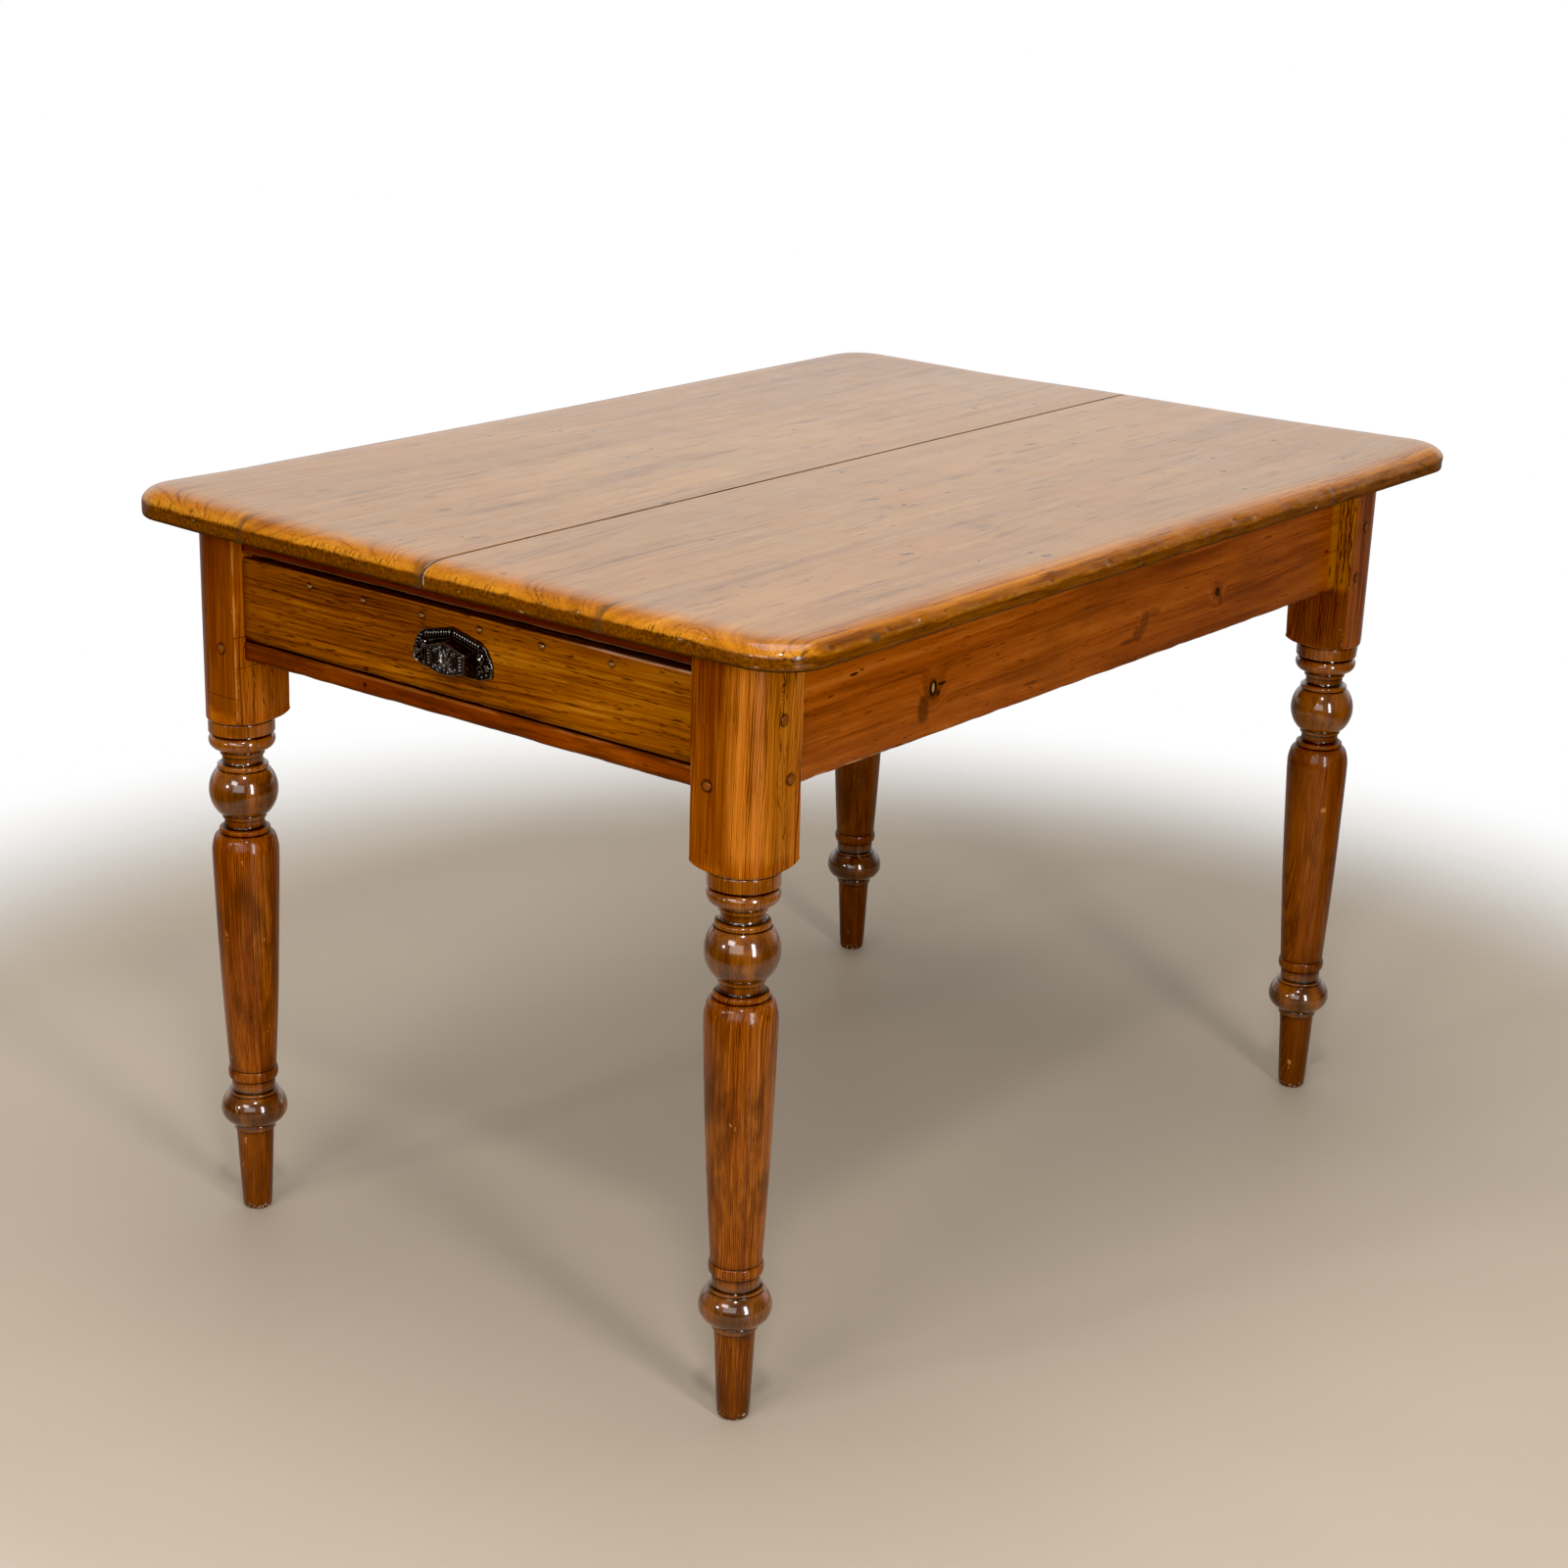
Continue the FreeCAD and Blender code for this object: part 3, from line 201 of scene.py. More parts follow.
# ---------------------------------------------------------------- material nodes
class Mat:
    """A node material built up in code. Lengths inside are millimetres of the piece."""

    def __init__(self, name):
        self.m = bpy.data.materials.new(name)
        self.m.use_nodes = True
        self.t = self.m.node_tree
        self.t.nodes.clear()
        self.out = self.t.nodes.new("ShaderNodeOutputMaterial")
        self.bsdf = self.t.nodes.new("ShaderNodeBsdfPrincipled")
        self.t.links.new(self.bsdf.outputs[0], self.out.inputs[0])
        tc = self.t.nodes.new("ShaderNodeTexCoord")
        sc = self.t.nodes.new("ShaderNodeVectorMath")
        sc.operation = "SCALE"
        self.t.links.new(tc.outputs["Object"], sc.inputs[0])
        sc.inputs["Scale"].default_value = 1000.0
        self.p = sc.outputs[0]
        self.x, self.y, self.z = self.split(self.p)

    def put(self, sock, v):
        if isinstance(v, bpy.types.NodeSocket):
            self.t.links.new(v, sock)
        elif isinstance(v, (tuple, list)):
            sock.default_value = tuple(v) + ((1.0,) if len(sock.default_value) == 4 and len(v) == 3 else ())
        else:
            sock.default_value = v

    def node(self, kind, *args, **props):
        n = self.t.nodes.new(kind)
        for k, v in props.items():
            setattr(n, k, v)
        for i, v in enumerate(args):
            if v is not None:
                self.put(n.inputs[i], v)
        return n

    def math(self, op, *args, clamp=False):
        return self.node("ShaderNodeMath", *args, operation=op, use_clamp=clamp).outputs[0]

    def add(self, *a):
        out = a[0]
        for v in a[1:]:
            out = self.math("ADD", out, v)
        return out

    def sub(self, a, b):
        return self.math("SUBTRACT", a, b)

    def mul(self, *a):
        out = a[0]
        for v in a[1:]:
            out = self.math("MULTIPLY", out, v)
        return out

    def madd(self, a, b, c):
        return self.math("MULTIPLY_ADD", a, b, c)

    def step(self, x, a, b, lo=0.0, hi=1.0):
        n = self.node("ShaderNodeMapRange", x, a, b, lo, hi, interpolation_type="SMOOTHSTEP")
        return n.outputs[0]

    def lin(self, x, a, b, lo=0.0, hi=1.0):
        return self.node("ShaderNodeMapRange", x, a, b, lo, hi).outputs[0]

    def mix(self, f, a, b, kind="MIX"):
        n = self.t.nodes.new("ShaderNodeMix")
        n.data_type = "RGBA"
        n.blend_type = kind
        self.put(n.inputs[0], f)
        self.put(n.inputs[6], a)
        self.put(n.inputs[7], b)
        return n.outputs[2]

    def ramp(self, v, stops):
        n = self.node("ShaderNodeValToRGB", v)
        e = n.color_ramp.elements
        while len(e) < len(stops):
            e.new(0.5)
        for el, (pos, col) in zip(e, stops):
            el.position = pos
            el.color = tuple(col) + (1.0,)
        return n.outputs[0]

    def split(self, v):
        n = self.node("ShaderNodeSeparateXYZ", v)
        return n.outputs[0], n.outputs[1], n.outputs[2]

    def vec(self, x, y, z):
        return self.node("ShaderNodeCombineXYZ", x, y, z).outputs[0]

    def map(self, v, scale, loc=(0, 0, 0)):
        n = self.node("ShaderNodeMapping", v)
        n.inputs["Scale"].default_value = scale
        n.inputs["Location"].default_value = loc
        return n.outputs[0]

    def noise(self, v, detail=2.0, rough=0.5, distort=0.0, out="Fac"):
        n = self.node("ShaderNodeTexNoise")
        self.put(n.inputs["Vector"], v)
        n.inputs["Scale"].default_value = 1.0
        n.inputs["Detail"].default_value = detail
        n.inputs["Roughness"].default_value = rough
        n.inputs["Distortion"].default_value = distort
        return n.outputs["Fac"] if out == "Fac" else n.outputs["Color"]

    def noise_line(self, w, detail=1.0):
        n = self.node("ShaderNodeTexNoise", noise_dimensions="1D")
        self.put(n.inputs["W"], w)
        n.inputs["Scale"].default_value = 1.0
        n.inputs["Detail"].default_value = detail
        return n.outputs["Fac"]

    def random(self, w):
        n = self.node("ShaderNodeTexWhiteNoise", noise_dimensions="1D")
        self.put(n.inputs["W"], w)
        return n.outputs["Value"]

    def attr(self, name):
        return self.node("ShaderNodeAttribute", attribute_name=name).outputs["Fac"]

    def normal(self):
        n = self.t.nodes.new("ShaderNodeNewGeometry")
        return self.split(n.outputs["Normal"])

    def near(self, u, v, u0, v0, ru, rv):
        """Distance from a spot on a surface, as a share of its radii."""
        du = self.math("MULTIPLY", self.sub(u, u0), 1.0 / ru)
        dv = self.math("MULTIPLY", self.sub(v, v0), 1.0 / rv)
        return self.math("SQRT", self.madd(du, du, self.mul(dv, dv)))

    def bump(self, h, strength, dist_mm):
        n = self.t.nodes.new("ShaderNodeBump")
        n.inputs["Strength"].default_value = strength
        n.inputs["Distance"].default_value = dist_mm * MM
        self.put(n.inputs["Height"], h)
        return n.outputs[0]

    def shade(self, color, rough, normal=None, spec=0.4, coat=0.0, coat_rough=0.1, metallic=None):
        b = self.bsdf.inputs
        self.put(b["Base Color"], color)
        self.put(b["Roughness"], rough)
        b["Specular IOR Level"].default_value = spec
        b["Coat Weight"].default_value = coat
        b["Coat Roughness"].default_value = coat_rough
        if metallic is not None:
            self.put(b["Metallic"], metallic)
        if normal is not None:
            self.put(b["Normal"], normal)
        return self.m


def pine(M, axis, seed, pith, ramp, ring=3.2, tilt=(0.0, 0.0), amounts=(0.35, 0.40, 0.30, 0.30), warp=(16.0, 3.0),
         knots=(), dash=(0.69, 0.77), stretch=1.0, line=(0.15, 0.85)):
    """Solid pine figure: growth rings round a pith line, streaks and fibres along the grain, and knots.
    amounts: broad streaks, narrow streaks, fibres, ring lines.
    knots: (socket u, socket v, u0, v0, radius u, radius v, darkness)."""
    a, b, g = {0: (M.y, M.z, M.x), 1: (M.x, M.z, M.y), 2: (M.x, M.y, M.z)}[axis]
    v = M.vec(a, b, g)
    s = float(seed)
    k = 1.0 / stretch
    wide = M.split(M.noise(M.map(v, (0.006, 0.006, 0.0016), (s, s * 1.7, s * 0.6)), 1.5, 0.5, out="Color"))
    small = M.noise(M.map(v, (0.03, 0.03, 0.0045 * k), (s * 2.1, s, s * 1.3)), 3.0, 0.55)
    ra = M.add(a, -pith[0], M.mul(g, -tilt[0]), M.madd(wide[0], warp[0], -warp[0] / 2))
    rb = M.add(b, -pith[1], M.mul(g, -tilt[1]), M.madd(wide[1], warp[0], -warp[0] / 2))
    r = M.math("SQRT", M.madd(ra, ra, M.mul(rb, rb)))
    r = M.add(r, M.madd(small, warp[1] * 2, -warp[1]))
    knot_mask, knot_ring = None, None
    for (u, w, u0, w0, ru, rw, dark) in knots:
        d = M.near(u, w, u0, w0, ru, rw)
        push = M.step(d, 5.0, 0.3)
        r = M.add(r, M.mul(push, push, 2.4 * rw))
        core = M.mul(M.step(d, 1.15, 0.75), dark)
        halo = M.mul(M.step(d, 2.6, 0.9), dark * 0.35)
        core = M.math("MAXIMUM", core, halo)
        knot_mask = core if knot_mask is None else M.math("MAXIMUM", knot_mask, core)
    flow = M.vec(r, M.mul(g, 0.02 * k), s)
    broad = M.noise(M.map(flow, (0.035, 0.11, 1.0), (s, 0, 0)), 3.0, 0.55)
    narrow = M.noise(M.map(flow, (0.16, 0.26, 1.0), (s * 1.9, s, 0)), 3.0, 0.6)
    t = M.madd(r, 1.0 / ring, M.mul(M.noise_line(M.madd(r, 0.06, s * 3.3)), 2.6))
    saw = M.math("FRACT", t)
    lat = M.sub(M.step(saw, line[0], line[1]), M.step(saw, line[1] + 0.01, 1.0))
    rnd = M.random(M.add(M.math("FLOOR", t), s))
    where = M.noise(M.map(v, (0.02, 0.02, 0.004 * k), (s * 0.4, s * 3.1, s)), 2.0, 0.5)
    lat = M.mul(lat, M.madd(rnd, 0.8, 0.2), M.step(where, 0.30, 0.66, 0.25, 1.0))
    fib = M.noise(M.map(v, (0.60, 0.60, 0.011 * k), (s, 0, s * 2)), 4.0, 0.62)
    fine = M.noise(M.map(v, (2.6, 2.6, 0.05), (0, s, s)), 2.0, 0.6)
    blotch = M.noise(M.map(v, (0.010, 0.010, 0.006), (s * 0.7, s, s * 3)), 3.0, 0.55)
    dots = M.step(M.noise(M.map(v, (0.50, 0.50, 0.055), (s * 1.1, s * 2.2, 0)), 1.0, 0.5), dash[0], dash[1])
    A = amounts
    value = M.add(M.madd(broad, 2 * A[0], 0.5 - A[0]), M.madd(narrow, 2 * A[1], -A[1]), M.madd(fib, 2 * A[2], -A[2]),
                  M.madd(lat, -A[3], A[3] * 0.25), M.madd(fine, 0.16, -0.08))
    col = M.ramp(value, ramp)
    dark = tuple(c * 0.5 for c in ramp[0][1])
    col = M.mix(M.mul(dots, 0.75), col, dark)
    if knot_mask is not None:
        col = M.mix(knot_mask, col, dark)
    height = M.add(M.mul(lat, 0.35), M.mul(fib, 0.6), M.mul(fine, 0.25), M.mul(dots, -0.7))
    return {"color": col, "height": height, "late": lat, "fibre": fib, "fine": fine, "dots": dots, "v": v,
            "blotch": blotch, "value": value, "knot": knot_mask}


# ---------------------------------------------------------------- wood finishes
LEG_RAMP = ((0.05, (0.034, 0.0058, 0.0006)), (0.36, (0.134, 0.0255, 0.0018)), (0.58, (0.276, 0.0630, 0.0039)),
            (0.80, (0.458, 0.130, 0.0105)), (1.0, (0.61, 0.225, 0.032)))
RED_RAMP = ((0.05, (0.058, 0.0108, 0.0010)), (0.36, (0.185, 0.037, 0.0024)), (0.58, (0.310, 0.070, 0.0052)),
            (0.80, (0.430, 0.120, 0.0125)), (1.0, (0.52, 0.19, 0.034)))
GOLD_RAMP = ((0.05, (0.042, 0.0092, 0.0008)), (0.36, (0.150, 0.0370, 0.0017)), (0.58, (0.256, 0.0715, 0.0034)),
             (0.80, (0.378, 0.128, 0.0090)), (1.0, (0.50, 0.205, 0.028)))
RAIL_RAMP = ((0.05, (0.034, 0.0055, 0.0008)), (0.36, (0.105, 0.0170, 0.0014)), (0.58, (0.190, 0.034, 0.0026)),
             (0.80, (0.290, 0.068, 0.0070)), (1.0, (0.42, 0.14, 0.022)))
RAW_RAMP = ((0.05, (0.10, 0.045, 0.014)), (0.36, (0.26, 0.135, 0.050)), (0.58, (0.37, 0.21, 0.090)),
            (0.80, (0.46, 0.285, 0.135)), (1.0, (0.54, 0.36, 0.19)))
TOP_RAMP = ((0.05, (0.105, 0.036, 0.0065)), (0.36, (0.265, 0.114, 0.0270)), (0.58, (0.339, 0.160, 0.0420)),
            (0.80, (0.395, 0.195, 0.0560)), (1.0, (0.45, 0.235, 0.072)))
RIM_RAMP = ((0.05, (0.066, 0.0155, 0.0011)), (0.36, (0.240, 0.069, 0.0030)), (0.58, (0.390, 0.128, 0.0058)),
            (0.80, (0.510, 0.190, 0.0130)), (1.0, (0.63, 0.29, 0.045)))


def crack(M, u, v, u0, v0, v1, width, seed, wander=5.0):
    """A dark wandering line along v, from v0 to v1."""
    bend = M.noise_line(M.madd(v, 0.035, seed * 7.7), 2.0)
    off = M.math("ABSOLUTE", M.sub(M.sub(u, u0), M.madd(bend, 2 * wander, -wander)))
    thick = M.noise_line(M.madd(v, 0.10, seed * 3.1), 1.0)
    edge = M.madd(thick, 2.2 * width, -0.35 * width)
    return M.mul(M.step(off, edge, M.mul(edge, 0.35)), M.step(v, v0 - 4.0, v0 + 6.0), M.step(v, v1 + 4.0, v1 - 6.0))


def leg_wood(name, seed, pith, tilt, ring=1.9, pegs=(), cracks=(), lines=(), tone=1.0, inner=(), loops=(), stain=0.42, painted_highlight=(), drawn=1.0):
    """pegs: (which face axis, place of the face, place along it, height) of the joint pegs in this post.
    cracks: (face axis, place of the face, place along it, low, high, width). lines: arrises painted pale (x, y, low,
    high, share): worn wood, and on the near post's inner arris also a painted highlight.
    inner: patches of another tone (face axis, place of the face, low and high place along it, low and high height,
    colour, share).
    loops: places where the grain closes into loops (x, z, radius x, radius z, darkness).
    drawn: how strongly the grain lines are drawn. stain: how much darker the turning is than the post, partly a heavier
    stain and partly painted shade for the light falling off down the leg. The round corner, given as (x, y, towards x,
    towards y), is painted lighter: a painted highlight for the soft sheen there, partly worn wood."""
    M = Mat(name)
    ramp = tuple((p, tuple(c * tone for c in col)) for p, col in LEG_RAMP)
    w = pine(M, 2, seed, pith, ramp, ring=ring, tilt=tilt, amounts=(0.33, 0.36 * drawn, 0.44 * drawn, 0.60 * drawn), warp=(22.0, 4.2),
             knots=[(M.x, M.z) + k for k in loops], dash=(0.70, 0.78), line=(0.40, 0.88))
    groove = M.attr("groove")
    arris = M.attr("arris")
    grime = M.noise(M.map(M.p, (0.05, 0.05, 0.05), (seed, 0, 0)), 4.0, 0.6)
    smear = M.noise(M.map(M.p, (0.045, 0.045, 0.016), (0, seed, 2.0)), 4.0, 0.6)
    g = M.math("MULTIPLY", groove, M.lin(grime, 0.3, 0.7, 0.85, 1.2), clamp=True)
    col = w["color"]
    for axis, face, lo, hi, low, high, tint, share in inner:
        u, f = (M.x, M.y) if axis == "y" else (M.y, M.x)
        on_face = M.mul(M.step(M.math("ABSOLUTE", M.sub(f, face)), 4.0, 2.0), M.step(u, lo - 3.0, lo + 3.0), M.step(u, hi + 3.0, hi - 3.0))
        on_face = M.mul(on_face, M.step(M.add(M.z, M.madd(grime, 24.0, -12.0)), low - 5.0, low + 5.0), M.step(M.z, high + 5.0, high - 5.0))
        col = M.mix(M.mul(on_face, M.step(w["value"], 0.30, 0.55, 0.35, 1.0), share), col, tint)
    # the round corner is painted lighter: a painted highlight for the soft sheen there, partly worn wood
    for x0, y0, tx, ty in painted_highlight:
        corner = M.mul(M.step(M.x, x0, x0 + 13.0 * tx), M.step(M.y, y0, y0 + 13.0 * ty), M.step(M.z, 540.0, 560.0))
        col = M.mix(M.mul(corner, M.step(w["value"], 0.25, 0.6, 0.15, 1.0), 0.40), col, (0.54, 0.185, 0.022))
    # the turning is darker than the post, partly a heavier stain and partly painted shade for the light falling off
    # down the leg, most of all towards the foot, and old wax lies on it in smears
    col = M.mix(M.step(M.z, 548.0, 420.0, 0.0, stain), col, (0.075, 0.0165, 0.0012))
    col = M.mix(M.mul(M.step(M.z, 430.0, 330.0), M.step(smear, 0.42, 0.72), 0.55), col, (0.030, 0.0075, 0.0008))
    col = M.mix(M.mul(M.step(smear, 0.50, 0.80), 0.42), col, (0.050, 0.0115, 0.0010))
    col = M.mix(M.step(M.z, 130.0, 30.0, 0.0, 0.50), col, (0.042, 0.0110, 0.0012))
    turned = M.math("MAXIMUM", M.mul(M.step(M.z, 424.0, 432.0), M.step(M.z, 540.0, 534.0)), M.mul(M.step(M.z, 88.0, 94.0), M.step(M.z, 146.0, 138.0)))
    tan = M.mix(M.step(smear, 0.36, 0.64), tuple(c * tone for c in (0.235, 0.080, 0.0095)), tuple(c * tone for c in (0.082, 0.025, 0.0028)))
    col = M.mix(M.mul(turned, 0.52), col, tan)
    balls = M.math("MAXIMUM", M.mul(M.step(M.z, 434.0, 440.0), M.step(M.z, 484.0, 470.0)), M.mul(M.step(M.z, 94.0, 100.0), M.step(M.z, 133.0, 124.0)))
    col = M.mix(M.mul(balls, M.step(smear, 0.34, 0.62), 0.50), col, (0.030, 0.0105, 0.0014))
    col = M.mix(M.mul(g, 0.95), col, (0.0060, 0.0022, 0.0006))
    spots = M.step(M.noise(M.map(M.p, (0.16, 0.16, 0.07), (0, seed, 0)), 3.0, 0.6), 0.64, 0.80)
    col = M.mix(M.mul(spots, 0.6), col, (0.030, 0.007, 0.001))
    for axis, face, along, height in pegs:
        u, f = (M.x, M.y) if axis == "y" else (M.y, M.x)
        on_face = M.step(M.math("ABSOLUTE", M.sub(f, face)), 4.0, 2.0)
        d = M.near(u, M.z, along, height, 1.0, 1.0)
        d = M.add(d, M.madd(grime, 1.2, -0.6))
        col = M.mix(M.mul(on_face, M.step(d, 8.0, 4.4), 0.8), col, (0.022, 0.006, 0.001))
    for k, (axis, face, along, low, high, width) in enumerate(cracks):
        u, f = (M.x, M.y) if axis == "y" else (M.y, M.x)
        on_face = M.step(M.math("ABSOLUTE", M.sub(f, face)), 4.0, 2.0)
        c = M.mul(on_face, crack(M, u, M.z, along, low, high, width, seed + k))
        col = M.mix(M.mul(c, 0.85), col, (0.024, 0.006, 0.001))
    bare = M.noise(M.map(M.p, (0.20, 0.20, 0.045), (seed, 3.0, 0)), 3.0, 0.6)
    # pale lines down the arrises: worn wood, and on the near post's inner arris also a painted highlight
    for x0, y0, low, high, share in lines:
        d = M.near(M.x, M.y, x0, y0, 1.0, 1.0)
        run = M.mul(M.step(M.z, low - 6.0, low + 6.0), M.step(M.z, high + 6.0, high - 6.0))
        col = M.mix(M.mul(M.step(d, 2.0, 0.8), run, M.step(bare, 0.40, 0.56), share), col, (0.56, 0.27, 0.070))
    chip = M.mul(M.step(M.noise(M.map(M.p, (0.30, 0.30, 0.2), (seed, seed, 0)), 2.0, 0.6), 0.68, 0.73), arris)
    col = M.mix(M.mul(chip, 0.8), col, (0.55, 0.33, 0.14))
    knock = M.noise(M.map(M.p, (0.085, 0.085, 0.050), (seed * 1.7, 0.0, seed)), 2.0, 0.55)
    knock = M.mul(M.step(knock, 0.715, 0.735), M.step(M.z, 420.0, 410.0))
    col = M.mix(M.mul(knock, 0.50), col, tuple(c * tone * tone for c in (0.50, 0.24, 0.075)))
    foot = M.step(M.add(M.z, M.mul(grime, 8.0)), 14.0, 3.0)
    col = M.mix(M.mul(foot, 0.7), col, (0.03, 0.014, 0.006))
    nick = M.mul(M.step(M.z, 9.0, 4.0), M.step(M.noise(M.map(M.p, (0.32, 0.32, 0.5), (seed, 1.0, 0)), 2.0, 0.5), 0.60, 0.64))
    col = M.mix(M.mul(nick, 0.85), col, (0.58, 0.47, 0.36))
    rough = M.add(M.madd(w["fibre"], 0.16, 0.22), M.mul(chip, 0.3), M.mul(g, 0.10), M.mul(foot, 0.2), M.madd(smear, 0.16, -0.06))
    n = M.bump(M.add(w["height"], M.mul(chip, -1.0), M.mul(grime, 0.9), M.mul(smear, 0.8)), 0.55, 0.15)
    # the rings and balls were burnished by every hand and cloth
    m = M.shade(col, M.add(rough, M.mul(turned, -0.05)), n, spec=0.12, coat=0.45, coat_rough=0.095)
    M.bsdf.inputs["Coat IOR"].default_value = 1.58
    M.put(M.bsdf.inputs["Coat Weight"], M.add(M.madd(turned, 0.72, 0.26), M.step(M.z, 540.0, 548.0, 0.0, 0.16)))
    return m


def flat_wood(name, axis, seed, pith, ramp, ring=3.6, tilt=(0.0, 0.0), knots=None, amounts=(0.40, 0.35, 0.22, 0.18),
              dash=(0.66, 0.74), gloss=0.16, extra=None, warp=(24.0, 4.0), spec=0.2, stretch=1.0, line=(0.15, 0.85)):
    M = Mat(name)
    spots = [k(M) for k in (knots or ())]
    w = pine(M, axis, seed, pith, ramp, ring=ring, tilt=tilt, amounts=amounts, knots=spots, dash=dash, warp=warp,
             stretch=stretch, line=line)
    col = w["color"]
    grime = M.noise(M.map(M.p, (0.03, 0.03, 0.03), (seed, 0, 0)), 4.0, 0.6)
    rough = M.add(M.madd(w["fibre"], 0.20, 0.24), M.madd(grime, 0.12, -0.04))
    height = M.add(w["height"], M.mul(grime, 0.6))
    if extra:
        col, rough, height = extra(M, w, col, rough, height, grime)
    n = M.bump(height, 0.55, 0.14)
    return M.shade(col, rough, n, spec=spec, coat=gloss, coat_rough=0.12)


PEGS = {
    "leg_front_right": (("y", -356.0, -505.0, 673.0), ("y", -356.0, -494.5, 618.0), ("x", -547.0, -307.5, 613.6)),
    "leg_front_left": (("y", 364.0, -505.0, 673.0), ("y", 364.0, -494.5, 618.0), ("x", -547.0, 315.5, 613.6)),
    "leg_rear_right": (("y", -361.2, 490.0, 673.0), ("y", -360.2, 479.5, 618.0), ("x", 532.0, -309.5, 690.0),
                       ("x", 532.0, -309.5, 635.0)),
    "leg_rear_left": (("y", 364.0, 490.0, 673.0), ("y", 364.0, 479.5, 618.0), ("x", 532.0, 317.5, 690.0),
                      ("x", 532.0, 317.5, 635.0)),
}
GOLDEN, RUDDY, DUSKY = (0.40, 0.142, 0.0110), (0.115, 0.022, 0.0016), (0.085, 0.021, 0.0018)
leg_mats = {
    "leg_front_right": leg_wood("wood_leg_front_right", 3.0, (-575.0, -262.0), (0.020, -0.03), pegs=PEGS["leg_front_right"], tone=0.86, drawn=1.3,
                                # the near post's round corner is painted lighter: a painted highlight for the soft
                                # sheen there
                                painted_highlight=((-513.0, -322.0, -1.0, -1.0),),
                                cracks=(("y", -356.0, -506.0, 672.0, 716.0, 0.9), ("y", -356.0, -511.0, 590.0, 690.0, 0.8),
                                        ("y", -356.0, -501.0, 560.0, 650.0, 0.7), ("y", -356.0, -490.0, 700.0, 726.0, 0.8)),
                                lines=((-478.5, -355.5, 612.0, 736.0, 0.95), (-546.5, -287.5, 545.0, 640.0, 0.3)),
                                inner=(("y", -356.0, -524.0, -490.0, 548.0, 735.0, GOLDEN, 0.40),
                                       ("x", -547.0, -331.0, -285.0, 540.0, 740.0, RUDDY, 0.46)),
                                loops=((-497.0, 352.0, 2.4, 9.0, 0.0), (-496.0, 322.0, 2.2, 8.0, 0.0), (-509.0, 652.0, 2.6, 15.0, 0.0))),
    "leg_front_left": leg_wood("wood_leg_front_left", 7.0, (-592.0, 392.0), (0.012, 0.006), pegs=PEGS["leg_front_left"],
                               cracks=(("y", 295.0, -524.0, 545.0, 610.0, 0.9), ("y", 295.0, -512.0, 545.0, 606.0, 0.8),
                                       ("y", 295.0, -534.0, 545.0, 640.0, 0.7), ("y", 295.0, -500.0, 548.0, 600.0, 0.8),
                                       ("x", -547.0, 338.0, 560.0, 700.0, 0.6)),
                               lines=((-546.5, 295.5, 545.0, 736.0, 0.3),),
                               inner=(("y", 295.0, -546.0, -478.0, 548.0, 736.0, GOLDEN, 0.14),
                                      ("x", -547.0, 296.0, 364.0, 548.0, 736.0, RUDDY, 0.60))),
    "leg_rear_right": leg_wood("wood_leg_rear_right", 11.0, (410.0, -300.0), (0.03, 0.01), pegs=PEGS["leg_rear_right"], tone=1.0, stain=0.66,
                               cracks=(("x", 463.0, -347.0, 606.0, 735.0, 1.3), ("x", 463.0, -351.5, 612.0, 730.0, 1.5),
                                       ("x", 463.0, -356.0, 640.0, 735.0, 1.3), ("x", 463.0, -359.0, 606.0, 700.0, 1.2),
                                       ("x", 463.0, -343.0, 600.0, 735.0, 1.0), ("x", 463.0, -346.0, 545.0, 600.0, 0.8),
                                       ("x", 463.0, -330.0, 545.0, 600.0, 0.9), ("x", 463.0, -312.0, 545.0, 600.0, 0.8)),
                               inner=(("x", 463.0, -366.0, -343.0, 606.0, 736.0, GOLDEN, 0.7),
                                      ("x", 463.0, -366.0, -288.0, 536.0, 604.0, DUSKY, 0.65))),
    # the far leg's wood is toned much darker: painted shade of the table standing over it
    "leg_rear_left": leg_wood("wood_leg_rear_left", 17.0, (575.0, 285.0), (-0.02, 0.02), pegs=PEGS["leg_rear_left"], tone=0.45),
}


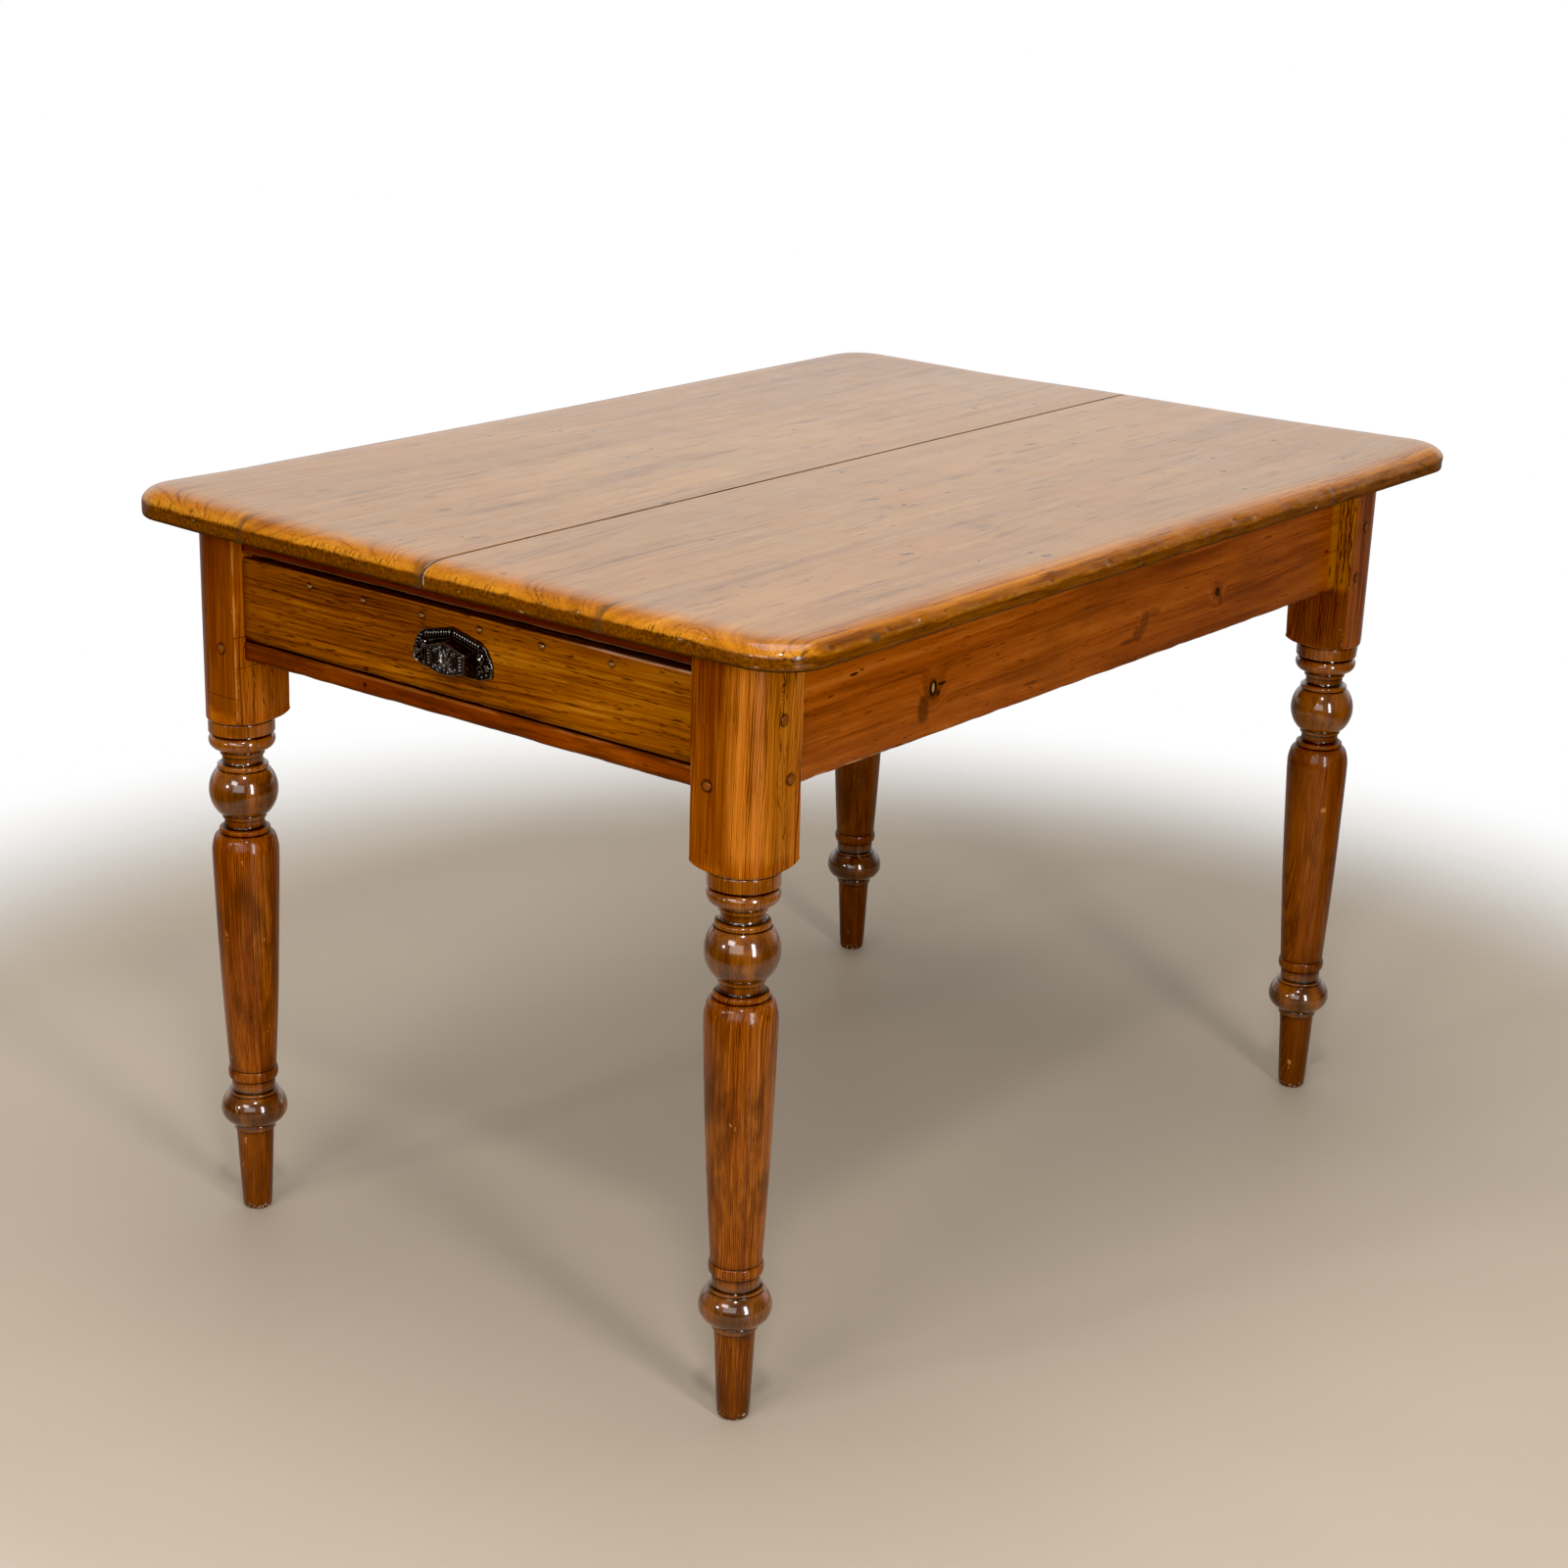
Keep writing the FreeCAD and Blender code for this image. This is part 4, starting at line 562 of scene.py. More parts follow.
def top_wood(name, seed, pith, tilt, knots, tint):
    M = Mat(name)
    drop = M.attr("drop")
    chipped = M.attr("chip")
    spots = [(M.x, M.y, kx, ky, ra, rb, dk) for kx, ky, ra, rb, dk in knots]
    w = pine(M, 0, seed, pith, tuple((p, tuple(c * t for c, t in zip(col, tint))) for p, col in TOP_RAMP), ring=3.4,
             tilt=tilt, amounts=(0.30, 0.34, 0.36, 0.34), warp=(24.0, 3.0), knots=spots, dash=(0.71, 0.77), stretch=1.6, line=(0.40, 0.88))
    grime = M.noise(M.map(M.p, (0.03, 0.03, 0.03), (seed, 0, 0)), 4.0, 0.6)
    patch = M.noise(M.map(M.p, (0.012, 0.012, 0.03), (0, seed, 0)), 3.0, 0.6)
    # bare golden wood on the worn round-over, dark glaze left on the lower half of the edge
    edge = M.attr("edge")
    rim = M.ramp(M.add(w["value"], M.madd(patch, 0.5, -0.22)), RIM_RAMP)
    lines = M.noise(M.map(w["v"], (0.34, 0.34, 0.028), (seed * 1.3, 0, seed)), 3.0, 0.6)
    ends_on = M.step(M.math("ABSOLUTE", M.x), 520.0, 556.0)
    long_on = M.sub(1.0, ends_on)
    rim = M.mix(M.mul(long_on, M.step(lines, 0.56, 0.68, 0.0, 0.7)), rim, (0.060, 0.014, 0.001))
    # end grain shows as short dark strokes over the two ends
    stroke = M.noise(M.map(M.p, (0.030, 0.36, 0.10), (seed, 2.0, 0)), 3.0, 0.6)
    rim = M.mix(M.mul(ends_on, M.step(stroke, 0.61, 0.70), M.step(drop, 0.6, 3.0), 0.6), rim, (0.075, 0.019, 0.001))
    # a brighter golden band along the ridge of the two ends: a painted highlight
    ridge = M.mul(M.step(drop, 4.5, 7.5), M.step(drop, 11.5, 9.5), M.step(patch, 0.35, 0.6, 0.35, 1.0))
    rim = M.mix(M.mul(ridge, ends_on, 0.45), rim, (0.58, 0.24, 0.016))
    fine = M.noise(M.map(M.p, (0.13, 0.13, 0.13), (3.0, seed, 0)), 3.0, 0.6)
    soft = M.add(edge, M.madd(grime, 14.0, -7.0))
    along = M.step(soft, 34.0, 13.0)
    across = M.step(soft, 50.0, 4.0)
    col = M.mix(M.madd(M.sub(across, along), ends_on, along), w["color"], rim)
    # along the sides the wax is browner below the turn, with a thin lighter line half way down, a painted highlight
    # along the ridge
    drawn = M.noise(M.map(M.p, (0.016, 0.10, 0.17), (seed, 0, 3.0)), 3.0, 0.6)
    side = M.mul(long_on, M.step(M.add(drop, M.madd(drawn, 4.0, -2.0)), 3.2, 7.6))
    brown = M.mix(M.step(drawn, 0.40, 0.62), (0.245, 0.073, 0.0036), (0.110, 0.029, 0.0016))
    col = M.mix(M.mul(side, 0.82), col, brown)
    painted_highlight = M.mul(long_on, M.step(M.add(drop, M.madd(drawn, 4.0, -2.0)), 9.5, 11.0), M.step(M.add(drop, M.madd(drawn, 4.0, -2.0)), 13.5, 12.0))
    col = M.mix(M.mul(painted_highlight, M.step(fine, 0.40, 0.58), 0.50), col, (0.36, 0.150, 0.022))
    low = M.step(M.add(drop, M.madd(patch, 3.0, -1.5), M.madd(M.madd(M.sub(fine, drawn), ends_on, drawn), 4.0, -2.0), M.mul(ends_on, 3.0)), 12.8, 15.2)
    glaze = M.mix(M.step(lines, 0.35, 0.62), (0.145, 0.043, 0.0028), (0.048, 0.0125, 0.0010))
    col = M.mix(M.mul(low, M.madd(ends_on, 0.26, 0.60)), col, glaze)
    hatch = M.noise(M.map(M.p, (0.05, 0.40, 0.06), (seed, 4.0, 1.0)), 2.0, 0.55)
    nicked = M.mul(ends_on, M.step(drop, 4.5, 7.5), M.step(drop, 16.0, 12.0), M.step(patch, 0.42, 0.56))
    col = M.mix(M.mul(nicked, M.step(hatch, 0.53, 0.62), 0.75), col, (0.030, 0.009, 0.001))
    speck = M.step(M.noise(M.map(M.p, (0.42, 0.42, 0.42), (seed, 0, 1.0)), 2.0, 0.55), 0.58, 0.64)
    ridge_on = M.mul(M.step(drop, 8.0, 10.5), M.step(drop, 18.0, 13.0), M.step(patch, 0.46, 0.60))
    col = M.mix(M.mul(speck, ridge_on, M.madd(ends_on, 0.65, 0.30)), col, (0.012, 0.004, 0.001))
    # the lower arris, facing down, painted near black: painted shade under the edge
    col = M.mix(M.mul(M.step(drop, 20.0, 23.0), M.madd(ends_on, 0.35, 0.50)), col, (0.030, 0.009, 0.001))
    # grey stain where the joints run out over the ends
    end = M.step(M.math("ABSOLUTE", M.x), 545.0, 574.0)
    for y0, wid, seen in ((-212.0, 15.0, 0.30), (2.0, 20.0, 0.55), (244.0, 14.0, 0.30)):
        away = M.sub(M.y, y0 - 1.0)
        stain = M.mul(M.step(away, M.mul(end, wid), 0.0), M.step(away, -3.0, 0.0), M.step(M.math("ABSOLUTE", M.x), 515.0, 568.0))
        broken = M.step(M.noise_line(M.madd(M.x, 0.045, y0), 2.0), 0.38, 0.60)
        stain = M.math("MAXIMUM", stain, M.mul(M.step(M.math("ABSOLUTE", M.sub(M.y, y0)), 2.2, 0.4), broken, seen))
        col = M.mix(M.mul(stain, 0.72), col, (0.080, 0.038, 0.014))
    flat = M.step(drop, 1.0, 0.2)
    wisp = M.noise(M.map(w["v"], (0.11, 0.11, 0.011), (seed, 4.0, seed)), 4.0, 0.66)
    col = M.mix(M.mul(flat, M.step(wisp, 0.56, 0.69), 0.52), col, (0.085, 0.031, 0.0065))
    col = M.mix(M.mul(flat, M.step(wisp, 0.41, 0.29), 0.40), col, (0.50, 0.265, 0.085))
    hue = M.noise(M.map(M.p, (0.0055, 0.011, 0.01), (seed, 1.0, 7.0)), 3.0, 0.55)
    col = M.mix(M.mul(flat, M.step(hue, 0.52, 0.70), 0.40), col, (0.380, 0.148, 0.024))
    col = M.mix(M.mul(flat, M.step(hue, 0.46, 0.30), 0.32), col, (0.265, 0.150, 0.064))
    dots = M.noise(M.map(M.p, (0.045, 0.075, 0.06), (seed, 9.0, 2.0)), 1.0, 0.5)
    col = M.mix(M.mul(flat, M.step(dots, 0.755, 0.785), 0.75), col, (0.040, 0.016, 0.005))
    gap = M.mul(M.step(M.math("ABSOLUTE", M.sub(M.y, 2.0)), 1.7, 1.0), M.step(M.math("ABSOLUTE", M.x), 568.0, 556.0))
    col = M.mix(M.mul(gap, 0.85), col, (0.016, 0.0075, 0.0035))
    worn_line = M.mul(M.step(M.math("ABSOLUTE", M.sub(M.y, 0.0)), 1.4, 0.7), M.step(M.math("ABSOLUTE", M.x), 556.0, 564.0),
                      M.step(drop, 3.0, 5.0), M.step(drop, 21.0, 17.0))
    col = M.mix(M.mul(worn_line, 0.45), col, (0.58, 0.42, 0.26))
    pale = M.step(M.noise(M.map(M.p, (0.13, 0.13, 0.13), (seed, 0, 5.0)), 3.0, 0.6), 0.56, 0.61)
    col = M.mix(M.mul(M.step(chipped, 0.5, 0.9), pale, 0.5), col, (0.56, 0.38, 0.20))
    col = M.mix(M.mul(M.step(chipped, 0.25, 0.8), M.sub(1.0, pale), 0.5), col, (0.030, 0.010, 0.001))
    hole = M.near(M.x, drop, -463.0, 11.5, 7.5, 4.5)
    hole = M.mul(M.step(M.y, -405.0, -414.0), M.add(M.mul(M.step(hole, 1.0, 0.85), 0.7), M.mul(M.step(hole, 0.62, 0.5), 0.3)))
    col = M.mix(hole, col, (0.10, 0.050, 0.018))
    under = M.step(drop, 26.0, 29.0)
    col = M.mix(under, col, M.ramp(w["value"], RAW_RAMP))
    rim_on = M.mul(M.step(drop, 0.3, 3.0), M.step(drop, 22.0, 19.0))
    rough = M.add(M.madd(w["fibre"], 0.14, 0.26), M.madd(grime, 0.16, -0.06), M.mul(chipped, 0.15), M.mul(rim_on, -0.06),
                  M.mul(under, 0.35), M.mul(M.step(drop, 19.0, 22.0), 0.25))
    dents = M.noise(M.map(M.p, (0.16, 0.16, 0.16), (0, 0, seed)), 2.0, 0.5)
    n = M.bump(M.add(w["height"], M.mul(grime, 0.5), M.mul(dents, M.mul(rim_on, 5.0)), M.mul(lines, M.mul(rim_on, 1.5))), 0.5, 0.12)
    m = M.shade(col, rough, n, spec=0.20, coat=0.10, coat_rough=0.11)
    M.put(M.bsdf.inputs["Coat Weight"], M.mul(M.step(drop, 0.2, 3.2, 0.50, 0.36), M.step(drop, 19.0, 14.0), M.madd(side, -0.55, 1.0)))
    return m


SHIFT = (-7.5, 4.0)


def top_knots(*rows):
    return [(x + SHIFT[0], y + SHIFT[1], r * 1.9, r, d) for x, y, r, d in rows]


top_mats = [
    top_wood("wood_top_1", 2.0, (-300.0, 640.0), (0.012, 0.0), top_knots((-102, -275, 4, 0.5)), (0.99, 0.97, 0.95)),
    top_wood("wood_top_2", 5.0, (-80.0, 600.0), (-0.01, 0.0),
             top_knots((117, -143, 5, 0.5), (141, -120, 3.5, 0.4), (52, -131, 3.5, 0.4), (112, -216, 4, 0.3),
                       (-99, -161, 5, 0.5), (-135, -183, 4, 0.4), (412, -115, 5, 0.5)), (1.0, 1.0, 1.0)),
    top_wood("wood_top_3", 9.0, (120.0, 610.0), (0.01, 0.0),
             top_knots((-413, 130, 5, 0.5), (-470, 30, 4, 0.4), (-384, 178, 4, 0.4), (114, 30, 5, 0.4),
                       (-96, 100, 4, 0.4), (59, 70, 3.5, 0.3)), (1.02, 1.02, 1.02)),
    top_wood("wood_top_4", 13.0, (380.0, 630.0), (0.0, 0.0), top_knots((-442, 266, 5, 0.4)), (0.98, 0.96, 0.93)),
]

def spot(M, u, v, u0, v0, ru, rv, inner=0.6, outer=1.0):
    return M.step(M.near(u, v, u0, v0, ru, rv), outer, inner)


def apron_extra(along, lo, hi, marks, bare_end=False):
    """Painted shade under the top, grime in the joints, and the marks of one apron."""
    def extra(M, w, col, rough, height, grime):
        u = (M.x, M.y)[along]
        # darker just under the top: painted shade of the top's overhang
        col = M.mix(M.mul(M.step(M.z, 712.0, 735.0), 0.55), col, (0.050, 0.013, 0.0012))
        col = M.mix(M.mul(M.step(M.z, 609.5, 606.0), 0.4), col, (0.050, 0.013, 0.0012))
        ends = M.math("MAXIMUM", M.step(u, lo + 7.0, lo + 1.0), M.step(u, hi - 7.0, hi - 1.0))
        col = M.mix(M.mul(ends, 0.7), col, (0.030, 0.008, 0.001))
        if bare_end:
            scuffed = M.mul(M.step(M.z, 609.0, 606.6), M.step(M.noise(M.map(M.p, (0.05, 0.2, 0.3), (1.0, 2.0, 0)), 3.0, 0.6), 0.50, 0.60), M.step(u, -330.0, -430.0, 0.35, 1.0))
            col = M.mix(M.mul(scuffed, 0.8), col, (0.52, 0.30, 0.13))
            strip = M.mul(M.step(M.add(u, M.madd(grime, 8.0, -4.0)), hi - 20.0, hi - 14.0), M.step(u, hi - 0.8, hi - 2.6))
            col = M.mix(M.mul(strip, 0.75), col, M.mix(M.step(w["value"], 0.3, 0.6), (0.20, 0.056, 0.003), (0.40, 0.145, 0.012)))
        cloud = M.noise(M.map(M.p, (0.010, 0.010, 0.018), (2.0, 5.0, along)), 3.0, 0.55)
        col = M.mix(M.step(cloud, 0.45, 0.75, 0.0, 0.45), col, (0.115, 0.032, 0.0035))
        for kind, u0, z0, ru, rz, dark in marks:
            m = M.near(u, M.z, u0, z0, ru, rz)
            m = M.add(m, M.madd(grime, 0.9, -0.45))
            if kind == "eye":
                col = M.mix(M.step(m, 0.62, 0.40, 0.0, 0.9), col, (0.40, 0.24, 0.07))
            else:
                col = M.mix(M.step(m, 1.1, 0.5, 0.0, dark), col, (0.012, 0.0045, 0.0010))
        return col, rough, height
    return extra


apron_right_mat = flat_wood(
    "wood_apron_right", 0, 21.0, (-480.0, 560.0), RED_RAMP, ring=4.4, tilt=(0.0, 0.02),
    knots=[lambda M: (M.x, M.z, -275.5, 650.0, 6.5, 8.0, 0.95), lambda M: (M.x, M.z, 214.5, 649.0, 5.0, 5.5, 0.95)],
    extra=apron_extra(0, -478.0, 463.0, (
        ("dark", -290.0, 634.0, 10.0, 17.0, 0.6), ("dark", -262.0, 652.0, 8.0, 2.6, 0.9), ("dark", -268.0, 644.0, 4.0, 4.0, 0.9),
        ("dark", -275.5, 650.0, 7.5, 11.0, 0.95), ("eye", -275.5, 650.0, 4.4, 10.0, 0.9), ("dark", -393.5, 688.0, 8.0, 1.7, 0.95), ("dark", -383.0, 690.0, 4.0, 1.4, 0.8),
        ("dark", -270.0, 707.0, 11.0, 2.2, 0.8), ("dark", -255.0, 711.0, 7.0, 1.8, 0.7), ("dark", 47.0, 629.0, 16.0, 3.4, 0.5),
        ("dark", 66.0, 633.0, 11.0, 9.0, 0.45), ("dark", 77.0, 645.0, 9.0, 14.0, 0.40), ("dark", 92.0, 651.0, 16.0, 5.0, 0.35),
        ("dark", 221.0, 641.0, 4.0, 8.0, 0.5), ("dark", 310.0, 690.0, 10.0, 1.6, 0.5), ("dark", -120.0, 622.0, 14.0, 2.0, 0.5),
        ("dark", -420.0, 640.0, 12.0, 1.8, 0.4), ("dark", 438.0, 652.0, 6.0, 1.6, 0.9), ("dark", 449.0, 628.0, 3.0, 9.0, 0.7)),
        bare_end=True))
apron_left_mat = flat_wood(
    "wood_apron_left", 0, 23.0, (500.0, 540.0), RED_RAMP, ring=4.4,
    knots=[lambda M: (M.x, M.z, 130.0, 680.0, 6.5, 7.0, 0.95), lambda M: (M.x, M.z, -310.0, 640.0, 5.0, 5.0, 0.9)],
    extra=apron_extra(0, -478.0, 463.0, (("dark", 122.0, 667.0, 8.0, 12.0, 0.5), ("dark", -60.0, 650.0, 12.0, 1.8, 0.7))))
apron_end_mat = flat_wood(
    "wood_apron_end", 1, 27.0, (680.0, 560.0), RED_RAMP, ring=4.2,
    knots=[lambda M: (M.y, M.z, -120.0, 660.0, 6.5, 7.0, 0.95)],
    extra=apron_extra(1, -287.0, 295.0, (("dark", -126.0, 648.0, 7.0, 12.0, 0.5), ("dark", 150.0, 690.0, 12.0, 1.8, 0.7))))


def rail_extra(M, w, col, rough, height, grime):
    ends = M.math("MAXIMUM", M.step(M.y, -279.0, -286.0), M.step(M.y, 287.0, 294.0))
    col = M.mix(M.mul(ends, 0.7), col, (0.030, 0.008, 0.001))
    nx, ny, nz = M.normal()
    # the upper rail sits under the top: its face is painted darker as painted shade of the overhang, a pale band at its
    # bottom is a painted highlight, and its downward faces are painted near black as painted shade of the gap over the
    # drawer
    upper = M.step(M.z, 700.0, 710.0)
    col = M.mix(M.mul(upper, 0.40), col, (0.045, 0.0090, 0.0026))
    col = M.mix(M.mul(upper, M.step(M.z, 714.2, 712.6), M.step(M.z, 711.2, 711.8), 0.7), col, (0.20, 0.080, 0.040))
    col = M.mix(M.mul(upper, M.step(nz, 0.2, -0.6), 0.95), col, (0.006, 0.0025, 0.001))
    col = M.mix(M.mul(M.step(M.x, -533.0, -525.0), 0.75), col, (0.10, 0.045, 0.015))
    lower = M.step(M.z, 640.0, 628.0)
    soil = M.noise(M.map(M.p, (0.05, 0.011, 0.13), (2.0, 4.0, 1.0)), 4.0, 0.62)
    col = M.mix(M.mul(lower, M.step(soil, 0.40, 0.60), 0.70), col, (0.060, 0.0140, 0.0016))
    col = M.mix(M.mul(lower, M.step(M.y, -60.0, 240.0), 0.28), col, (0.050, 0.0125, 0.0014))
    col = M.mix(M.mul(lower, M.step(M.z, 608.5, 604.5), 0.5), col, (0.040, 0.0100, 0.0012))
    arris = M.mul(lower, M.step(M.z, 618.4, 620.0), M.step(M.z, 622.4, 621.4), M.step(soil, 0.52, 0.40))
    col = M.mix(M.mul(arris, 0.35), col, (0.34, 0.135, 0.030))
    # near-black line along the rail's top arris: painted shadow of the gap under the drawer front
    painted_seam_shadow = M.mul(M.step(M.z, 621.4, 623.2), M.step(M.z, 640.0, 630.0))
    col = M.mix(M.mul(painted_seam_shadow, 0.92), col, (0.008, 0.003, 0.001))
    col = M.mix(M.mul(spot(M, M.y, M.z, 126.0, 613.0, 3.2, 3.0), 0.85), col, (0.02, 0.006, 0.001))
    return col, rough, height


rail_mat = flat_wood("wood_rail", 1, 31.0, (-640.0, 600.0), RAIL_RAMP, ring=2.8, extra=rail_extra, line=(0.40, 0.88))
NAILS = (199.5, 126.2, 48.5, -24.9, -102.9, -186.1)


def front_extra(M, w, col, rough, height, grime):
    face = M.step(M.x, -531.0, -534.0)
    for y0 in NAILS:
        d = M.add(M.near(M.y, M.z, y0, 695.0, 1.0, 1.0), M.madd(grime, 2.4, -1.2))
        col = M.mix(M.mul(M.step(d, 5.6, 2.6), 0.75), col, (0.016, 0.005, 0.001))
    col = M.mix(M.mul(spot(M, M.y, M.z, 123.7, 628.8, 3.6, 3.2), 0.8), col, (0.02, 0.006, 0.001))
    # handled edges: dark grime along the bottom and the ends, and at the upper right a pale line, partly bare wood and
    # partly a painted highlight
    col = M.mix(M.mul(M.step(M.add(M.z, M.madd(grime, 6.0, -3.0)), 632.0, 625.0), 0.5), col, (0.035, 0.009, 0.001))
    # near-black line along the bottom edge: painted shadow of the gap over the rail
    col = M.mix(M.mul(M.step(M.z, 626.0, 624.6), 0.9), col, (0.008, 0.003, 0.001))
    # black wedge at the lower left: painted shadow of the gap
    wedge = M.mul(M.step(M.y, 262.0, 291.0), M.step(M.sub(M.z, M.mul(M.sub(M.y, 262.0), 0.10)), 625.6, 624.4))
    col = M.mix(M.mul(wedge, 0.95), col, (0.004, 0.002, 0.001))
    ends = M.math("MAXIMUM", M.step(M.y, -276.0, -286.0), M.step(M.y, 284.0, 294.0))
    col = M.mix(M.mul(ends, 0.55), col, (0.040, 0.011, 0.001))
    corner = M.mul(M.step(M.y, 190.0, 292.0), M.step(M.z, 672.0, 626.0))
    col = M.mix(M.mul(corner, 0.5), col, (0.040, 0.010, 0.001))
    # pale line along the top arris at the right: partly bare worn wood, partly a painted highlight
    worn = M.mul(M.step(M.z, 703.0, 705.4), M.step(M.y, -110.0, -190.0), face)
    col = M.mix(M.mul(worn, M.step(grime, 0.34, 0.55, 0.35, 1.0), 0.85), col, (0.46, 0.26, 0.16))
    hand = M.mul(spot(M, M.y, M.z, 5.0, 650.0, 120.0, 40.0, 0.1, 1.0), M.step(grime, 0.35, 0.7))
    col = M.mix(M.mul(hand, 0.35), col, (0.060, 0.016, 0.0015))
    # hand grime drawn out along the grain under the pull
    streak = M.step(M.noise(M.map(M.p, (0.2, 0.012, 0.34), (5.0, 1.0, 2.0)), 3.0, 0.6), 0.46, 0.60)
    below = spot(M, M.y, M.z, -9.0, 640.0, 62.0, 13.0, 0.35, 1.0)
    col = M.mix(M.mul(below, streak, 0.75), col, (0.034, 0.0085, 0.0012))
    inside = M.step(M.x, -531.5, -529.0)
    col = M.mix(M.mul(inside, 0.9), col, M.ramp(w["value"], RAW_RAMP))
    nx, ny, nz = M.normal()
    # the top face of the front is painted dark: partly grime, partly painted shade of the gap under the rail
    ledge = M.mul(M.step(M.z, 704.0, 705.2), M.step(nz, 0.45, 0.85))
    col = M.mix(M.mul(ledge, 0.85), col, (0.040, 0.0170, 0.0070))
    rough = M.add(rough, M.mul(inside, 0.3), M.mul(ledge, 0.3))
    return col, rough, height


front_mat = flat_wood("wood_drawer_front", 1, 37.0, (-640.0, 590.0), GOLD_RAMP, ring=3.0, dash=(0.62, 0.70), extra=front_extra,
                      amounts=(0.44, 0.42, 0.36, 0.34), line=(0.40, 0.88))
raw_mat = flat_wood("wood_raw", 0, 41.0, (40.0, 560.0), RAW_RAMP, ring=3.6, gloss=0.0)
side_mat = flat_wood("wood_drawer_side", 0, 43.0, (40.0, 560.0), RAW_RAMP, ring=3.2, gloss=0.03)


def peg_wood():
    M = Mat("wood_peg")
    rim = M.attr("rim")
    n1 = M.noise(M.map(M.p, (0.5, 0.5, 0.5), (4, 7, 1)), 3.0, 0.6)
    n2 = M.noise(M.map(M.p, (2.0, 2.0, 2.0), (1, 3, 2)), 2.0, 0.6)
    col = M.ramp(M.add(M.madd(n1, 0.9, 0.10), M.madd(n2, 0.3, -0.15)), LEG_RAMP)
    col = M.mix(0.40, col, (0.165, 0.066, 0.017))
    col = M.mix(M.mul(M.step(n1, 0.45, 0.7), 0.5), col, (0.050, 0.015, 0.003))
    col = M.mix(M.mul(M.step(rim, 0.35, 0.9), 0.9), col, (0.014, 0.0045, 0.001))
    return M.shade(col, M.madd(n1, 0.2, 0.26), M.bump(M.add(n1, M.mul(n2, 0.5)), 0.5, 0.2), spec=0.15, coat=0.12, coat_rough=0.1)


peg_mat = peg_wood()


def metal(name, base, light, rough):
    M = Mat(name)
    n1 = M.noise(M.map(M.p, (0.5, 0.5, 0.5)), 4.0, 0.6)
    n2 = M.noise(M.map(M.p, (0.08, 0.08, 0.08), (3, 1, 2)), 3.0, 0.6)
    col = M.mix(M.step(n2, 0.35, 0.7), base, light)
    return M.shade(col, M.madd(n1, 0.25, rough), M.bump(n1, 0.4, 0.15), spec=0.5, metallic=M.lin(n1, 0.3, 0.7, 0.75, 0.95))


def lacquered_iron():
    M = Mat("cast_iron")
    high = M.attr("high")
    n1 = M.noise(M.map(M.p, (0.9, 0.9, 0.9)), 4.0, 0.6)
    n2 = M.noise(M.map(M.p, (0.12, 0.12, 0.12), (3, 1, 2)), 3.0, 0.6)
    col = M.mix(M.step(n2, 0.35, 0.7), (0.0075, 0.0046, 0.0032), (0.020, 0.0115, 0.0075))
    col = M.mix(M.mul(M.step(high, 0.55, 1.0), M.step(n1, 0.42, 0.62), 0.5), col, (0.080, 0.048, 0.030))
    col = M.mix(M.mul(M.step(high, 0.30, 0.05), 0.75), col, (0.0075, 0.0040, 0.0028))
    rough = M.add(M.madd(n1, 0.14, 0.13), M.step(high, 0.45, 0.05, 0.0, 0.28))
    m = M.shade(col, rough, M.bump(M.add(n1, M.mul(n2, 0.8)), 0.30, 0.14), spec=0.28, coat=1.0, coat_rough=0.035)
    M.bsdf.inputs["Coat IOR"].default_value = 1.75
    M.put(M.bsdf.inputs["Coat Weight"], M.step(high, 0.08, 0.6, 0.18, 1.0))
    return m


iron = lacquered_iron()
steel = metal("old_steel", (0.12, 0.10, 0.085), (0.20, 0.17, 0.14), 0.35)
nail = metal("nail_iron", (0.020, 0.014, 0.011), (0.05, 0.03, 0.02), 0.45)



def head_metal(name, crown, dark, rough):
    """A lacquered metal head, dark in the ring round it."""
    M = Mat(name)
    rim = M.attr("rim")
    n1 = M.noise(M.map(M.p, (0.7, 0.7, 0.7)), 3.0, 0.6)
    col = M.mix(M.step(n1, 0.35, 0.7), crown, tuple(c * 0.6 for c in crown))
    col = M.mix(M.step(rim, 0.35, 0.9), col, dark)
    return M.shade(col, M.madd(n1, 0.2, rough), M.bump(n1, 0.4, 0.12), spec=0.4, coat=0.55, coat_rough=0.06,
                   metallic=M.lin(n1, 0.3, 0.7, 0.05, 0.3))


nail_head_mat = head_metal("nail_head", (0.30, 0.125, 0.030), (0.010, 0.0035, 0.001), 0.16)
screw_mat = head_metal("screw_head", (0.060, 0.045, 0.036), (0.010, 0.007, 0.005), 0.14)

